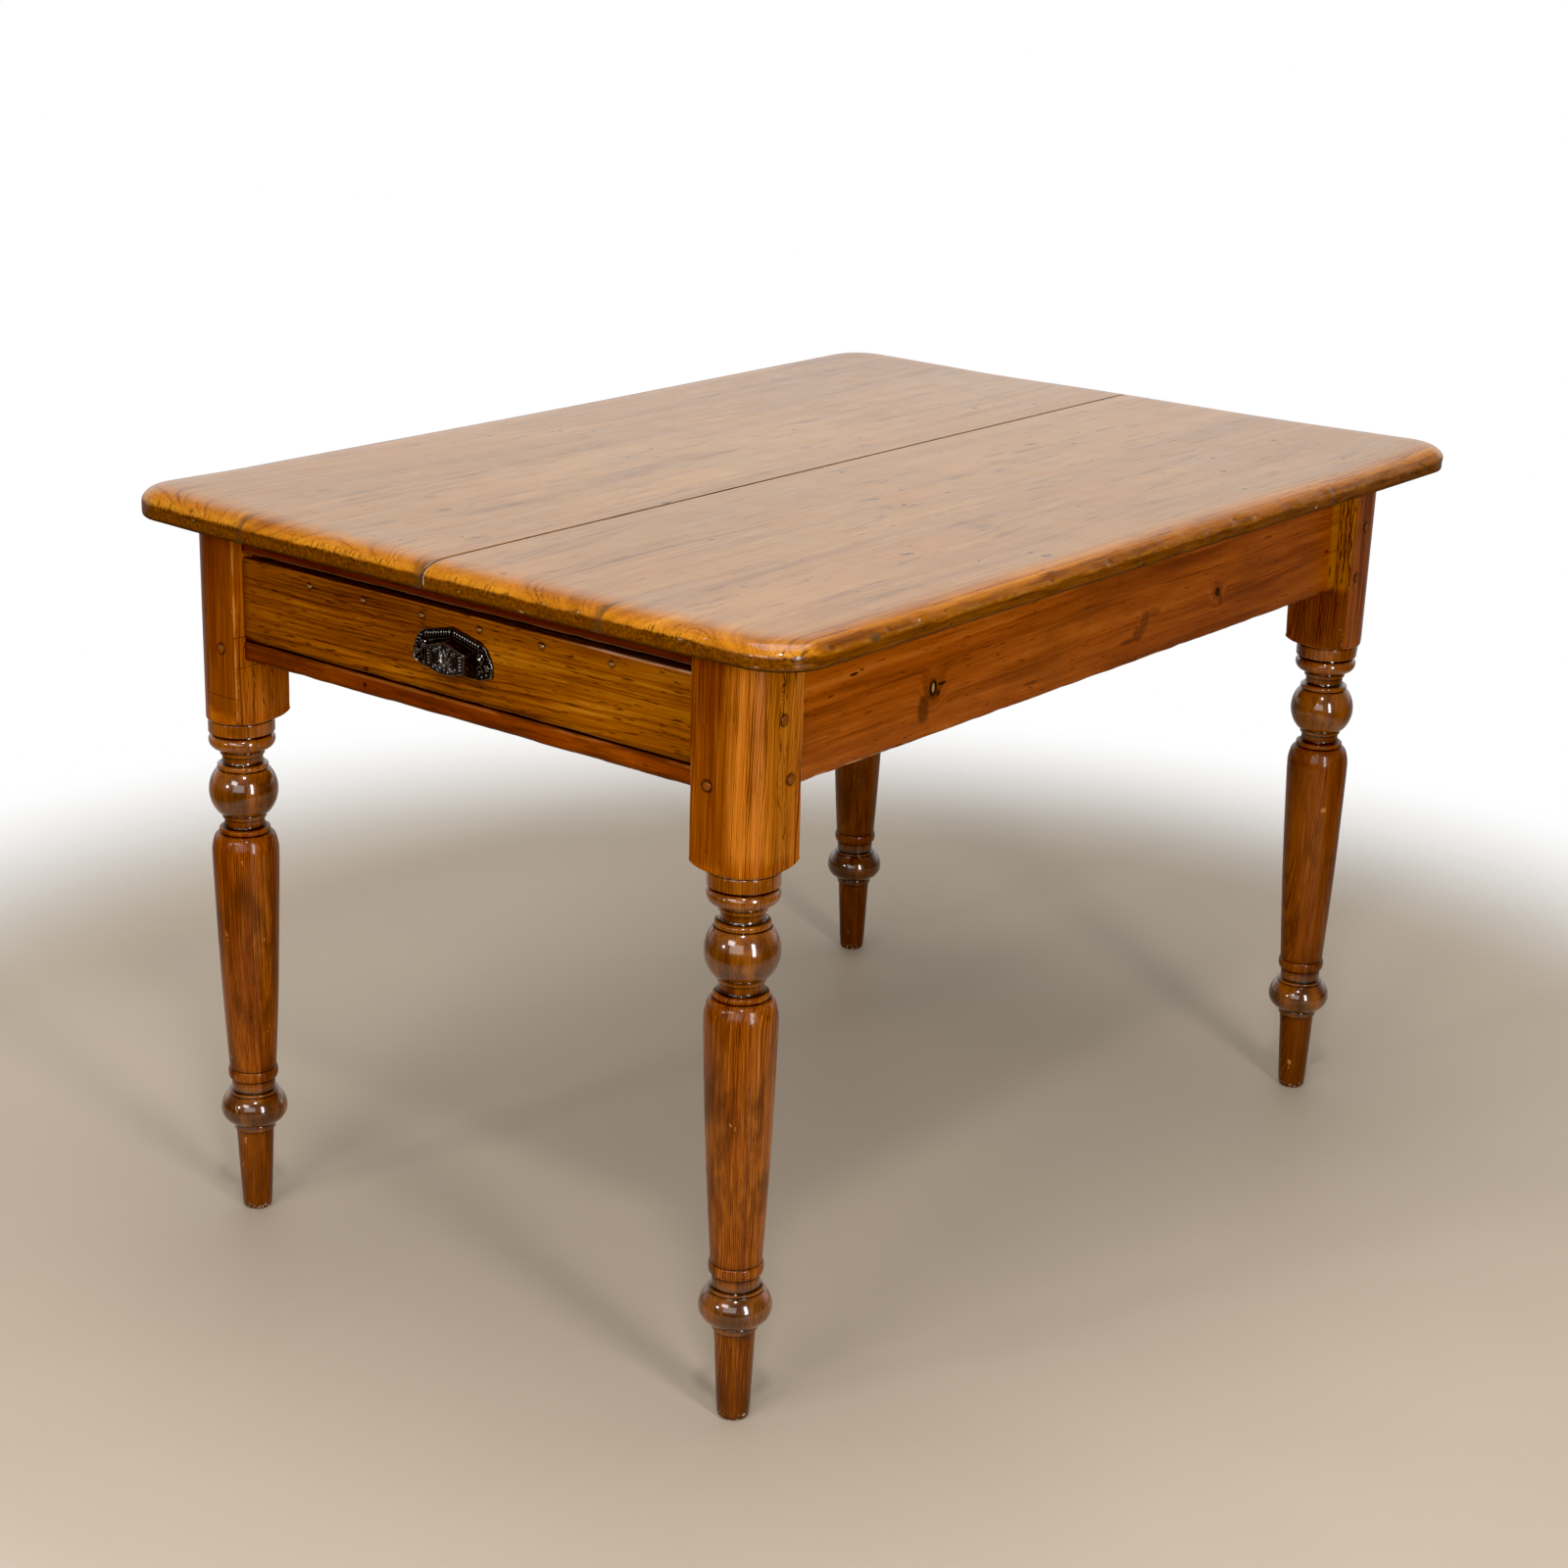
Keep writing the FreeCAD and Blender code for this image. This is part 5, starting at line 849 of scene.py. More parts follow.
# ---------------------------------------------------------------- turned legs
TURN = [
    (10.0, 0, 5.0), (14.7, 5, 0), (15.6, 16, 0), (17.0, 44, 0), (18.4, 76, 0), (19.2, 90.4, 0), (21.2, 91.2, 0), (21.2, 96.4, 0),
    (20.7, 97.2, 0), (22.8, 98, 16.4), (33.9, 113.5, 23.0), (26.4, 130.5, 0), (24.9, 131.2, 0), (25.6, 131.9, 0),
    (25.6, 134, 0), (22.4, 134.8, 0), (21.8, 147.2, 0), (24.4, 148, 16.0), (24.9, 157.8, 0), (23.7, 158.8, 0), (24.2, 168, 0),
    (26.1, 200, 0), (28.7, 250, 0), (30.7, 300, 0), (32.3, 350, 0), (33.3, 384, 0), (33.4, 394, 44.0), (31.3, 407.5, 10.0),
    (26.4, 414.6, 0), (24.8, 415.2, 0), (25.4, 416.2, 0), (25.4, 419.2, 0), (24.6, 420.2, 0), (23.3, 420.5, -3.6),
    (20.1, 424.3, 0), (20.1, 430.2, 0), (22.1, 430.9, 0), (22.1, 435, 0), (21.6, 435.8, 0), (25.8, 436.6, 34.4),
    (26.3, 481.4, 0), (24.6, 482, 0), (25.4, 483, 0), (25.4, 486, 0), (24.6, 487, 0), (23.3, 487.3, -3.6), (20.2, 491.1, 0),
    (20.2, 496.4, 0), (22.1, 497.1, 0), (22.1, 501.4, 0), (21.6, 502.1, 0), (23.4, 502.8, 9.5), (33.0, 511.5, 6.6),
    (30.4, 517.7, 0), (28.4, 518.3, 0), (28.2, 520.2, 0), (33.0, 521.0, 0), (33.0, 533.0, 0), (32.1, 533.9, 0), (33.0, 534.8, 0),
    (33, 535.4, 0), (33.2, 536, 0),
]


def ease(points, size=0.55):
    """Rounds the outer corners of a turned line a little, as sanding and wear do."""
    out = [points[0]]
    for a, p, b in zip(points[:-2], points[1:-1], points[2:]):
        e1, e2 = p - a, b - p
        l1, l2 = np.hypot(*e1), np.hypot(*e2)
        cross = (e1[0] * e2[1] - e1[1] * e2[0]) / (l1 * l2)
        if cross < 0.4:
            out.append(p)
            continue
        k = min(size, 0.45 * l1, 0.45 * l2)
        q0, q1 = p - e1 / l1 * k, p + e2 / l2 * k
        out += [(1 - t) ** 2 * q0 + 2 * t * (1 - t) * p + t * t * q1 for t in (0.0, 0.25, 0.5, 0.75, 1.0)]
    out.append(points[-1])
    return np.array(out)


def turned_line():
    """The turning as closely spaced (radius, height) points from the foot to the post."""
    pts = []
    for (r0, z0, k), (r1, z1, _) in zip(TURN[:-1], TURN[1:]):
        dr, dz = r1 - r0, z1 - z0
        c = math.hypot(dr, dz)
        if k == 0:
            marks = [0.0] + [t for t in (0.9, 2.2, 5.0) if t < c * 0.4]
            marks += [c * i / math.ceil(c / 7.0) for i in range(1, math.ceil(c / 7.0)) if 6.0 < c * i / math.ceil(c / 7.0) < c - 6.0]
            marks += [c - t for t in (5.0, 2.2, 0.9) if t < c * 0.4]
            pts += [(r0 + dr * m / c, z0 + dz * m / c) for m in marks]
            continue
        rad = max(abs(k), c / 2 * 1.0001)
        d = math.sqrt(rad * rad - c * c / 4) * (1 if k > 0 else -1)
        cr, cz = (r0 + r1) / 2 - dz / c * d, (z0 + z1) / 2 + dr / c * d
        a0, a1 = math.atan2(z0 - cz, r0 - cr), math.atan2(z1 - cz, r1 - cr)
        while a1 - a0 > math.pi:
            a1 -= 2 * math.pi
        while a1 - a0 < -math.pi:
            a1 += 2 * math.pi
        n = max(4, int(math.ceil(abs(a1 - a0) * rad / 1.3)))
        pts += [(cr + rad * math.cos(a0 + (a1 - a0) * i / n), cz + rad * math.sin(a0 + (a1 - a0) * i / n)) for i in range(n)]
    pts.append(TURN[-1][:2])
    return ease(np.array(pts))


LINE = turned_line()


def groove_depth():
    """How far each point of the turning lies below its surroundings, 0 to 1, and above, 0 to 1."""
    zz = np.linspace(0, 536, 5361)
    order = np.argsort(LINE[:, 1], kind="stable")
    rr = np.interp(zz, LINE[order, 1], LINE[order, 0])

    def below(width):
        n = int(width * 40)
        k = np.exp(-0.5 * (np.arange(-n, n + 1) * 0.1 / width) ** 2)
        soft = np.convolve(np.pad(rr, n, mode="edge"), k / k.sum(), mode="valid")
        return np.interp(LINE[:, 1], zz, soft) - LINE[:, 0]

    wide, fine = below(4.0), below(1.6)
    groove = np.maximum(np.clip(wide / 2.2, 0, 1) * 0.85, np.clip(fine / 0.60, 0, 1))
    return groove, np.clip(-wide / 2.2, 0, 1)


GROOVE, RIDGE = groove_depth()
POST_R = 34.5


def post_radius(th, outer):
    """Distance from the leg axis to the post's side: square, with the outer corner a quarter round."""
    soft = 1.6
    rel = np.angle(np.exp(1j * (th - outer)))
    c, s = np.abs(np.cos(th)), np.abs(np.sin(th))
    m, n = np.maximum(c, s), np.minimum(c, s)
    flat = POST_R / m
    q = POST_R - soft
    cc = (m + n) * q
    inside = np.maximum(cc * cc - 2 * q * q + soft * soft, 0.0)
    corner = cc + np.sqrt(inside)
    sq = np.where(flat * n > q, np.minimum(flat, corner), flat)
    return np.where(np.abs(rel) < math.pi / 4 - 1e-6, POST_R, sq)


def leg(node, cx, cy, outer_deg, seed):
    outer = math.radians(outer_deg)
    base = np.arange(0, 360, 2.25)
    extra = [outer_deg + 90 * k + o for k in (1, 2, 3) for o in (-3.2, -1.7, -1.2, -0.75, -0.35, 0.35, 0.75, 1.2, 1.7, 3.2)]
    th = np.radians(np.unique(np.round(np.concatenate([base, np.mod(extra, 360)]), 4)))
    cols = len(th)
    side = post_radius(th, outer)
    edge_near = np.zeros(cols)
    for k in (1, 2, 3):
        d = np.abs(np.angle(np.exp(1j * (th - outer - k * math.pi / 2))))
        edge_near = np.maximum(edge_near, 1 - sstep(0.02, 0.12, d))
    rows, groove, arris = [], [], []
    for (r, z), g, rid in zip(LINE, GROOVE, RIDGE):
        wob = 1 + 0.006 * (noise2(th / (2 * math.pi) * 8 % 8, np.full(cols, z / 60.0), seed) - 0.5)
        rows.append(np.stack([r * wob * np.cos(th), r * wob * np.sin(th), np.full(cols, z)], 1))
        groove.append(np.full(cols, g))
        arris.append(np.full(cols, rid))
    # rounded shoulder where the square starts
    rad = 16.0
    r0, z0 = 33.2, 536.0

    def shoulder_z(r):
        # arc that leaves the turning flat and climbs to the corners
        t = np.clip((r - r0) / (50.0 - r0), 0, 1)
        return z0 + 12.0 * (1 - np.sqrt(np.maximum(1 - t * t, 0.0)))

    zhit = shoulder_z(side)
    for t in (0.12, 0.28, 0.46, 0.64, 0.82, 1.0):
        r = r0 + (side - r0) * t
        rows.append(np.stack([r * np.cos(th), r * np.sin(th), shoulder_z(r)], 1))
        groove.append(np.full(cols, 0.35 * (1 - t)))
        arris.append(np.full(cols, 0.6 * t))
    heights = [0.02, 0.05, 0.1] + list(np.linspace(0.18, 0.97, 22)) + [0.994, 1.0]
    for t in heights:
        z = zhit + (736.0 - zhit) * t
        wear = edge_near * (0.9 * noise1(z / 26.0, seed + 3) ** 2 + 0.5 * noise1(z / 9.0, seed + 5) ** 3)
        r = side - wear
        rows.append(np.stack([r * np.cos(th), r * np.sin(th), z], 1))
        groove.append(np.zeros(cols))
        arris.append(edge_near * 0.9)
    pts = np.array(rows)
    pts[:, :, 0] += cx
    pts[:, :, 1] += cy
    if node == "leg_rear_right":
        # this post was cut a little heavier than the others, most of all at its top
        rise = sstep(520.0, 545.0, pts[:, :, 2]) * (2.6 + 3.8 * (pts[:, :, 2] - 536.0) / 200.0)
        pts[:, :, 1] -= rise * sstep(-305.0, -350.0, pts[:, :, 1])
    bm = grid_mesh(pts, attrs={"groove": np.array(groove), "arris": np.array(arris)})
    return finish_mesh("turned_" + node, bm, "table", [node], leg_mats[node], sharp=38.0)


leg("leg_front_right", -512.5, -321.5, 225, 1.3)
leg("leg_front_left", -512.5, 329.5, 135, 2.7)
leg("leg_rear_right", 497.5, -321.5, 315, 4.1)
leg("leg_rear_left", 497.5, 329.5, 45, 5.9)

# ---------------------------------------------------------------- top boards
EDGE_PROFILE = [(46, 0), (40, 0.01), (34, 0.06), (28, 0.25), (22, 0.72), (17, 1.4), (12.5, 2.35), (8.5, 3.7), (5.5, 5.2), (3, 7.0),
                (1.4, 8.8), (0.5, 10.3), (0.1, 11.8), (0, 13.5), (0, 17), (0.05, 20), (0.25, 22.2), (0.9, 23.5), (2.4, 24), (8.5, 24),
                (14, 24)]


def catmull(points, per):
    p = np.array(points, float)
    p = np.vstack([2 * p[0] - p[1], p, 2 * p[-1] - p[-2]])
    out = []
    for i in range(1, len(p) - 2):
        for t in np.arange(per) / per:
            a, b, c, d = p[i - 1], p[i], p[i + 1], p[i + 2]
            out.append(0.5 * (2 * b + (c - a) * t + (2 * a - 5 * b + 4 * c - d) * t * t + (3 * b - 3 * c + d - a) * t ** 3))
    out.append(p[-2])
    return np.array(out)


def outline():
    """Points round the top in plan, with the way inwards at each."""
    hx, hy, r = 580.0, 420.0, 52.0
    pts, nrm, s = [], [], []
    run = 0.0

    def line(x0, y0, x1, y1, nx, ny):
        nonlocal run
        length = math.hypot(x1 - x0, y1 - y0)
        n = int(round(length / 3.0))
        for i in range(n):
            t = i / n
            pts.append((x0 + (x1 - x0) * t, y0 + (y1 - y0) * t))
            nrm.append((nx, ny))
            s.append(run + length * t)
        run += length

    def arc(cx, cy, a0):
        nonlocal run
        n = 30
        for i in range(n):
            a = math.radians(a0 + 90 * i / n)
            pts.append((cx + r * math.cos(a), cy + r * math.sin(a)))
            nrm.append((-math.cos(a), -math.sin(a)))
            s.append(run + r * math.radians(90 * i / n))
        run += r * math.pi / 2

    line(hx, -hy + r, hx, hy - r, -1, 0)
    arc(hx - r, hy - r, 0)
    line(hx - r, hy, -hx + r, hy, 0, -1)
    arc(-hx + r, hy - r, 90)
    line(-hx, hy - r, -hx, -hy + r, 1, 0)
    arc(-hx + r, -hy + r, 180)
    line(-hx + r, -hy, hx - r, -hy, 0, 1)
    arc(hx - r, -hy + r, 270)
    return np.array(pts), np.array(nrm), np.array(s), run


def lift(x, y):
    """Slight warp of the top: two opposite corners stand a little high."""
    return (4.2 * sstep(20, 430, y) * sstep(150, -600, x) + 0.8 * sstep(-150, -430, y) * sstep(0, -600, x)
            + 2.8 * sstep(290, 425, y) * sstep(-420, -585, x) + 3.6 * sstep(-150, -430, y) * sstep(400, 590, x)
            - 2.0 * np.exp(-((y - 190.0) / 110.0) ** 2) * sstep(300, 570, x))


def top_mesh():
    P, N, s, total = outline()
    prof = catmull(EDGE_PROFILE, 2)
    rows, drop, chip, edge = [], [], [], []
    rng = np.random.default_rng(7)
    dents = [(rng.uniform(0, total), rng.uniform(7.0, 22.5), rng.uniform(1.5, 6.5), rng.uniform(0.4, 1.3), rng.uniform(1.2, 2.6))
             for _ in range(120)]
    inner = [0.82, 0.60, 0.40, 0.22, 0.09]
    squeeze = np.array([0.30, 0.02])
    p40 = P + N * 46.0
    for t in reversed(inner):
        q = p40 * t + p40 * squeeze * (1 - t)
        rows.append(np.column_stack([q, np.full(len(P), 760.0)]))
        drop.append(np.zeros(len(P)))
        chip.append(np.zeros(len(P)))
        edge.append(np.full(len(P), 46.0 + 400.0 * (1 - t)))
    worn = (noise1(s / 90.0, 3.0) - 0.5) * 1.6 + (noise1(s / 22.0, 4.0) - 0.5) * 0.8
    for d, h in prof:
        near_ridge = math.exp(-((h - 10.0) / 5.0) ** 2)
        side = sstep(0.3, 6.0, h) * (1 - sstep(22.0, 24.0, h))
        inset = d + 0.5 + np.maximum(worn, -0.4) * near_ridge * 0.8
        inset = inset + (noise2(s / 13.0, np.full(len(s), h / 6.0), 8.0) - 0.5) * 0.9 * side
        c = np.zeros(len(P))
        for s0, h0, wid, deep, tall in dents:
            ds = (np.abs(s - s0) % total)
            ds = np.minimum(ds, total - ds)
            m = np.exp(-(ds / wid) ** 2 - ((h - h0) / tall) ** 2)
            inset = inset + deep * m
            c = np.maximum(c, m)
        q = P + N * inset[:, None]
        # the overhang at the drawer end is a little thicker
        deeper = 0.8 * sstep(-500.0, -545.0, q[:, 0]) * sstep(370.0, 300.0, np.abs(q[:, 1])) * sstep(12.0, 22.0, h) * sstep(30.0, 12.0, d)
        rows.append(np.column_stack([q, 760.0 - h - deeper]))
        edge.append(np.full(len(P), d))
        drop.append(np.full(len(P), h + max(0.0, d - 5.5) * (0.5 if h > 23.6 else 0.0)))
        chip.append(c)
    p14 = P + N * 30.0
    for t in [0.97] + inner:
        q = p14 * t + p14 * squeeze * (1 - t)
        rows.append(np.column_stack([q, np.full(len(P), 736.0)]))
        drop.append(np.full(len(P), 30.0))
        chip.append(np.zeros(len(P)))
        edge.append(np.zeros(len(P)))
    pts = np.array(rows)
    share = np.clip((pts[:, :, 2] - 736.0) / 24.0, 0.15, 1.0)
    pts[:, :, 2] += lift(pts[:, :, 0], pts[:, :, 1]) * share
    bm = grid_mesh(pts, attrs={"drop": np.array(drop), "chip": np.array(chip), "edge": np.array(edge)})
    bmesh.ops.recalc_face_normals(bm, faces=bm.faces)
    return bm


whole = top_mesh()


def top_board(number, y0, y1, soft0, soft1):
    """One board cut out of the worn top, its long arrises eased where it meets the next."""
    bm = whole.copy()

    def cut(y, keep_side=None):
        geom = list(bm.verts) + list(bm.edges) + list(bm.faces)
        out = bmesh.ops.bisect_plane(bm, geom=geom, dist=1e-5, plane_co=(0, y, 0), plane_no=(0, 1, 0),
                                     clear_inner=keep_side == "above", clear_outer=keep_side == "below")
        return [e for e in out["geom_cut"] if isinstance(e, bmesh.types.BMEdge)]

    for y, side, ease in ((y0, "above", soft0), (y1, "below", soft1)):
        if y is None:
            continue
        sign = 1 if side == "above" else -1
        for k in (0.35, 1.0, 2.2) if ease > 0.5 else ():
            cut(y + sign * ease * k)
        rim = cut(y, side)
        bmesh.ops.edgeloop_fill(bm, edges=rim)
        for v in bm.verts if ease > 0.5 else ():
            d = abs(v.co.y - y)
            if d < ease * 2.0 and v.co.z > 742:
                t = 1 - d / (ease * 2.0)
                v.co.z -= ease * 0.9 * t * t * (0.6 + 0.8 * float(noise1(v.co.x / 14.0, number + y)))
    bmesh.ops.triangulate(bm, faces=[f for f in bm.faces if len(f.verts) > 4])
    ob = finish_mesh("plank_%d" % number, bm, "table", ["top_board_%d" % number],
                     top_mats[number - 1], sharp=40.0)
    even = ob.modifiers.new("even", "WEIGHTED_NORMAL")
    even.mode, even.weight, even.keep_sharp = "FACE_AREA", 90, True
    return ob


top_board(1, None, -212.0, 0, 0.28)
top_board(2, -212.0, 1.2, 0.28, 0.8)
top_board(3, 2.8, 244.0, 0.8, 0.3)
top_board(4, 244.0, None, 0.3, 0)
whole.free()

# ---------------------------------------------------------------- aprons, rails and drawer front
plank("long_apron_right", 0, [(-478.5, (-344.0, 605.5), (-322.0, 736.0)), (463.5, (-344.0, 605.5), (-322.0, 736.0))],
      "table", ["side_apron_right"], apron_right_mat, rad=1.4, seed=2.0)
plank("long_apron_left", 0, [(-478.5, (330.0, 605.5), (352.0, 736.0)), (463.5, (330.0, 605.5), (352.0, 736.0))],
      "table", ["side_apron_left"], apron_left_mat, rad=1.4, seed=3.0)
plank("short_apron", 1, [(-287.5, (498.0, 605.5), (520.0, 736.0)), (295.5, (498.0, 605.5), (520.0, 736.0))],
      "table", ["end_apron"], apron_end_mat, rad=1.4, seed=4.0)
plank("rail_under_drawer", 1, [(-287.5, (-535.0, 603.7), (-478.0, 623.5)), (295.5, (-535.0, 603.7), (-478.0, 623.5))],
      "table", ["lower_drawer_rail"], rail_mat, rad=2.0, seed=5.0)
plank("rail_over_drawer", 1, [(-287.5, (-535.0, 711.3), (-478.0, 736.0)), (295.5, (-535.0, 711.3), (-478.0, 736.0))],
      "table", ["upper_drawer_rail"], rail_mat, rad=1.2, seed=6.0)
plank("drawer_face", 1, [(-286.0, (-535.0, 624.0), (-527.0, 706.4)), (-274.0, (-535.0, 624.0), (-527.0, 706.4)),
                         (-274.0, (-535.0, 624.0), (-513.0, 706.4)), (282.0, (-535.0, 624.0), (-513.0, 706.4)),
                         (282.0, (-535.0, 624.0), (-527.0, 706.4)), (294.0, (-535.0, 624.0), (-527.0, 706.4))],
      "drawer", ["drawer_front"], front_mat, rad=1.7, seed=7.0)


# ---------------------------------------------------------------- joint pegs
def pegs(name, node, rows, seed):
    """Hand-cut pegs, a little out of round and domed, standing just proud of the posts."""
    bm = bmesh.new()
    lay = bm.verts.layers.float.new("rim")
    for i, (axis, face, along, height) in enumerate(rows):
        sign = 1.0 if face > 0 else -1.0
        sides = 9
        spin = hash1(i, seed) * 2
        radii = [4.2 + 0.8 * hash1(i * 11 + k, seed + 1) for k in range(sides)]
        rings = [(-7.0, 1.0, 1.0), (0.15, 1.0, 1.0), (0.62, 0.93, 0.75), (0.95, 0.70, 0.25), (1.1, 0.36, 0.0)]
        made = []
        for out, scale, rim in rings:
            line = []
            for k in range(sides * 3):
                c = k / 3.0
                r0, r1 = radii[int(c) % sides], radii[(int(c) + 1) % sides]
                r = (r0 + (r1 - r0) * (c - int(c))) * scale
                t = spin + 2 * math.pi * c / sides
                u, z, f = along + r * math.cos(t), height + r * math.sin(t), face + sign * out
                v = bm.verts.new((u, f, z) if axis == "y" else (f, u, z))
                v[lay] = rim
                line.append(v)
            made.append(line)
        n = len(made[0])
        for p, q in zip(made[:-1], made[1:]):
            for k in range(n):
                bm.faces.new((p[k], p[(k + 1) % n], q[(k + 1) % n], q[k]))
        bm.faces.new(made[0])
        bm.faces.new(made[-1])
    return finish_mesh(name, bm, "table", [node], peg_mat, sharp=50.0)


every = [p for rows in PEGS.values() for p in rows]
pegs("pegs_long_sides", "side_apron_pegs", [p for p in every if p[0] == "y"], 3.0)
pegs("pegs_drawer_rail", "drawer_rail_pegs", [p for p in every if p[0] == "x" and p[1] < 0], 5.0)
pegs("pegs_short_end", "end_apron_pegs", [p for p in every if p[0] == "x" and p[1] > 0], 7.0)


# ---------------------------------------------------------------- cup pull
PULL_Y, PULL_Z, FACE_X = 7.2, 667.0, -535.0


def pull_piece():
    """Cast cup pull: pedimented plate with a gadrooned border, hood with a leaf on its front, beads and scrolls."""
    bm = bmesh.new()
    lay = bm.verts.layers.float.new("high")

    def vert(u, w, d, high=0.0):
        v = bm.verts.new((FACE_X - d, PULL_Y + u, PULL_Z + w))
        v[lay] = high
        return v

    def bridge(rings, closed=True):
        for p, q in zip(rings[:-1], rings[1:]):
            n = len(p)
            for k in range(n if closed else n - 1):
                bm.faces.new((p[k], p[(k + 1) % n], q[(k + 1) % n], q[k]))

    def inset(poly, d):
        """A convex outline moved in by d."""
        n = len(poly)
        out = []
        for i in range(n):
            (x0, y0), (x1, y1), (x2, y2) = poly[i - 1], poly[i], poly[(i + 1) % n]
            l1, l2 = math.hypot(x1 - x0, y1 - y0), math.hypot(x2 - x1, y2 - y1)
            n1 = (-(y1 - y0) / l1, (x1 - x0) / l1)
            n2 = (-(y2 - y1) / l2, (x2 - x1) / l2)
            k = 1 + n1[0] * n2[0] + n1[1] * n2[1]
            out.append((x1 + d * (n1[0] + n2[0]) / k, y1 + d * (n1[1] + n2[1]) / k))
        return out

    # back plate, counter-clockwise outline, with a raised lip round it
    half = [(50.2, -13.6), (50.2, -2), (43.6, 11.0), (36, 17.0)]
    poly = [(37, -18.8)] + half + [(0, 25)] + [(-u, w) for u, w in reversed(half)] + [(-37, -18.8)]
    steps = [(0.0, 0.0, 0.0), (0.0, 1.9, 0.3), (0.22, 2.6, 1.0), (0.55, 2.8, 1.0), (0.95, 2.5, 0.5), (1.25, 1.7, 0.0)]
    rings = []
    for move, d, high in steps:
        rings.append([vert(u, w, d, high) for u, w in inset(poly, move)])
    bridge(rings)
    bm.faces.new(list(reversed(rings[0])))
    bm.faces.new(rings[-1])

    def blob(u, w, d, ru, rw, rd, angle=0.0, high=0.8, n=14, m=8):
        """A half-sunk rounded boss, long axis turned by angle in the face."""
        ca, sa = math.cos(angle), math.sin(angle)
        rows = []
        for i in range(1, m):
            t = math.pi * i / m
            line = []
            for k in range(n):
                p = 2 * math.pi * k / n
                a, b, c = ru * math.sin(t) * math.cos(p), rw * math.sin(t) * math.sin(p), rd * math.cos(t)
                line.append(vert(u + a * ca - b * sa, w + a * sa + b * ca, d + c, high * max(0.0, math.cos(t))))
            rows.append(line)
        bridge(rows)
        top, low = vert(u, w, d + rd, high), vert(u, w, d - rd, 0.0)
        for k in range(n):
            bm.faces.new((top, rows[0][k], rows[0][(k + 1) % n]))
            bm.faces.new((low, rows[-1][(k + 1) % n], rows[-1][k]))

    def cord(points, r, high=0.8, n=8):
        """A raised line on the plate through (u, w, d) points."""
        pts = np.array(points, float)
        rings = []
        for i, p in enumerate(pts):
            t = pts[min(i + 1, len(pts) - 1)] - pts[max(i - 1, 0)]
            t /= np.linalg.norm(t)
            side = np.cross(t, (0, 0, 1.0))
            side /= np.linalg.norm(side)
            rise = np.cross(side, t)
            taper = min(1.0, 0.35 + 0.65 * min(i, len(pts) - 1 - i) / (0.15 * len(pts)))
            ring = []
            for k in range(n):
                a = 2 * math.pi * k / n
                q = p + (side * math.cos(a) + rise * math.sin(a)) * r * taper
                ring.append(vert(q[0], q[1], q[2], high if math.sin(a) > 0.3 else 0.0))
            rings.append(ring)
        bridge(rings)
        bm.faces.new(list(reversed(rings[0])))
        bm.faces.new(rings[-1])

    # gadroons under both slopes of the pediment and round the shoulders, with a bead under them along the hood
    for sgn in (1, -1):
        a0, a1 = np.array((1.6, 19.4)), np.array((35.2, 12.0))
        ang = math.atan2(a1[1] - a0[1], a1[0] - a0[0])
        for i in range(10):
            c = a0 + (a1 - a0) * (i + 0.5) / 10
            blob(sgn * c[0], c[1], 1.7, 3.6, 1.2, 2.3, sgn * (ang + math.pi / 2 + 0.20), 1.0)
        cord([(sgn * (0.4 + 30.0 * t), 14.9 - 7.7 * t, 2.5) for t in np.linspace(0, 1, 12)], 0.75, 0.7)
        for (cu, cw), rot in (((40.4, 11.2), 0.75), ((43.6, 7.6), 0.45), ((45.4, 3.9), 0.35), ((46.9, 0.2), 0.25)):
            blob(sgn * cu, cw, 1.7, 2.8, 1.15, 2.0, sgn * rot, 1.0)
        for i in range(4):
            blob(sgn * 48.2, -13.4 + i * 2.9, 1.7, 1.5, 1.0, 1.5, 0.0, 0.9)
        # scroll and leaf on each wing
        spiral = []
        for i in range(44):
            t = i / 43.0
            r = 4.9 * (1 - 0.80 * t)
            a = -0.62 * math.pi + t * 3.2 * math.pi
            spiral.append((sgn * (36.0 + r * math.cos(a)), 2.6 + r * math.sin(a), 2.7 + 0.5 * t))
        cord(spiral, 1.0, 0.9)
        blob(sgn * 36.0, 2.6, 2.5, 1.3, 1.3, 1.6)
        stem = [(sgn * (32.6 + 8.6 * t + 1.7 * math.sin(t * 5.2)), 4.6 - 15.5 * t, 2.8 + 0.4 * math.sin(math.pi * t)) for t in np.linspace(0, 1, 22)]
        cord(stem, 1.15, 0.9)
        for du, dw, rot, size in ((41.6, -4.6, 0.5, 2.6), (33.2, -6.4, -0.9, 2.9), (43.4, -12.2, 0.2, 2.4), (34.6, -11.6, -0.6, 2.9), (37.4, -15.6, 0.0, 2.4)):
            blob(sgn * du, dw, 2.3, size, 1.1, 1.3, sgn * (rot + math.pi / 2), 0.8)

    # hood: a box with a pitched roof, open below
    def wide(d):
        return 26.5 - 1.5 * (d - 3.0) / 11.0

    def ridge(d):
        return 14.5 - 1.9 * (d - 3.0) / 11.0

    def foot(d):
        return -16.5 + 3.0 * (d - 3.0) / 11.0

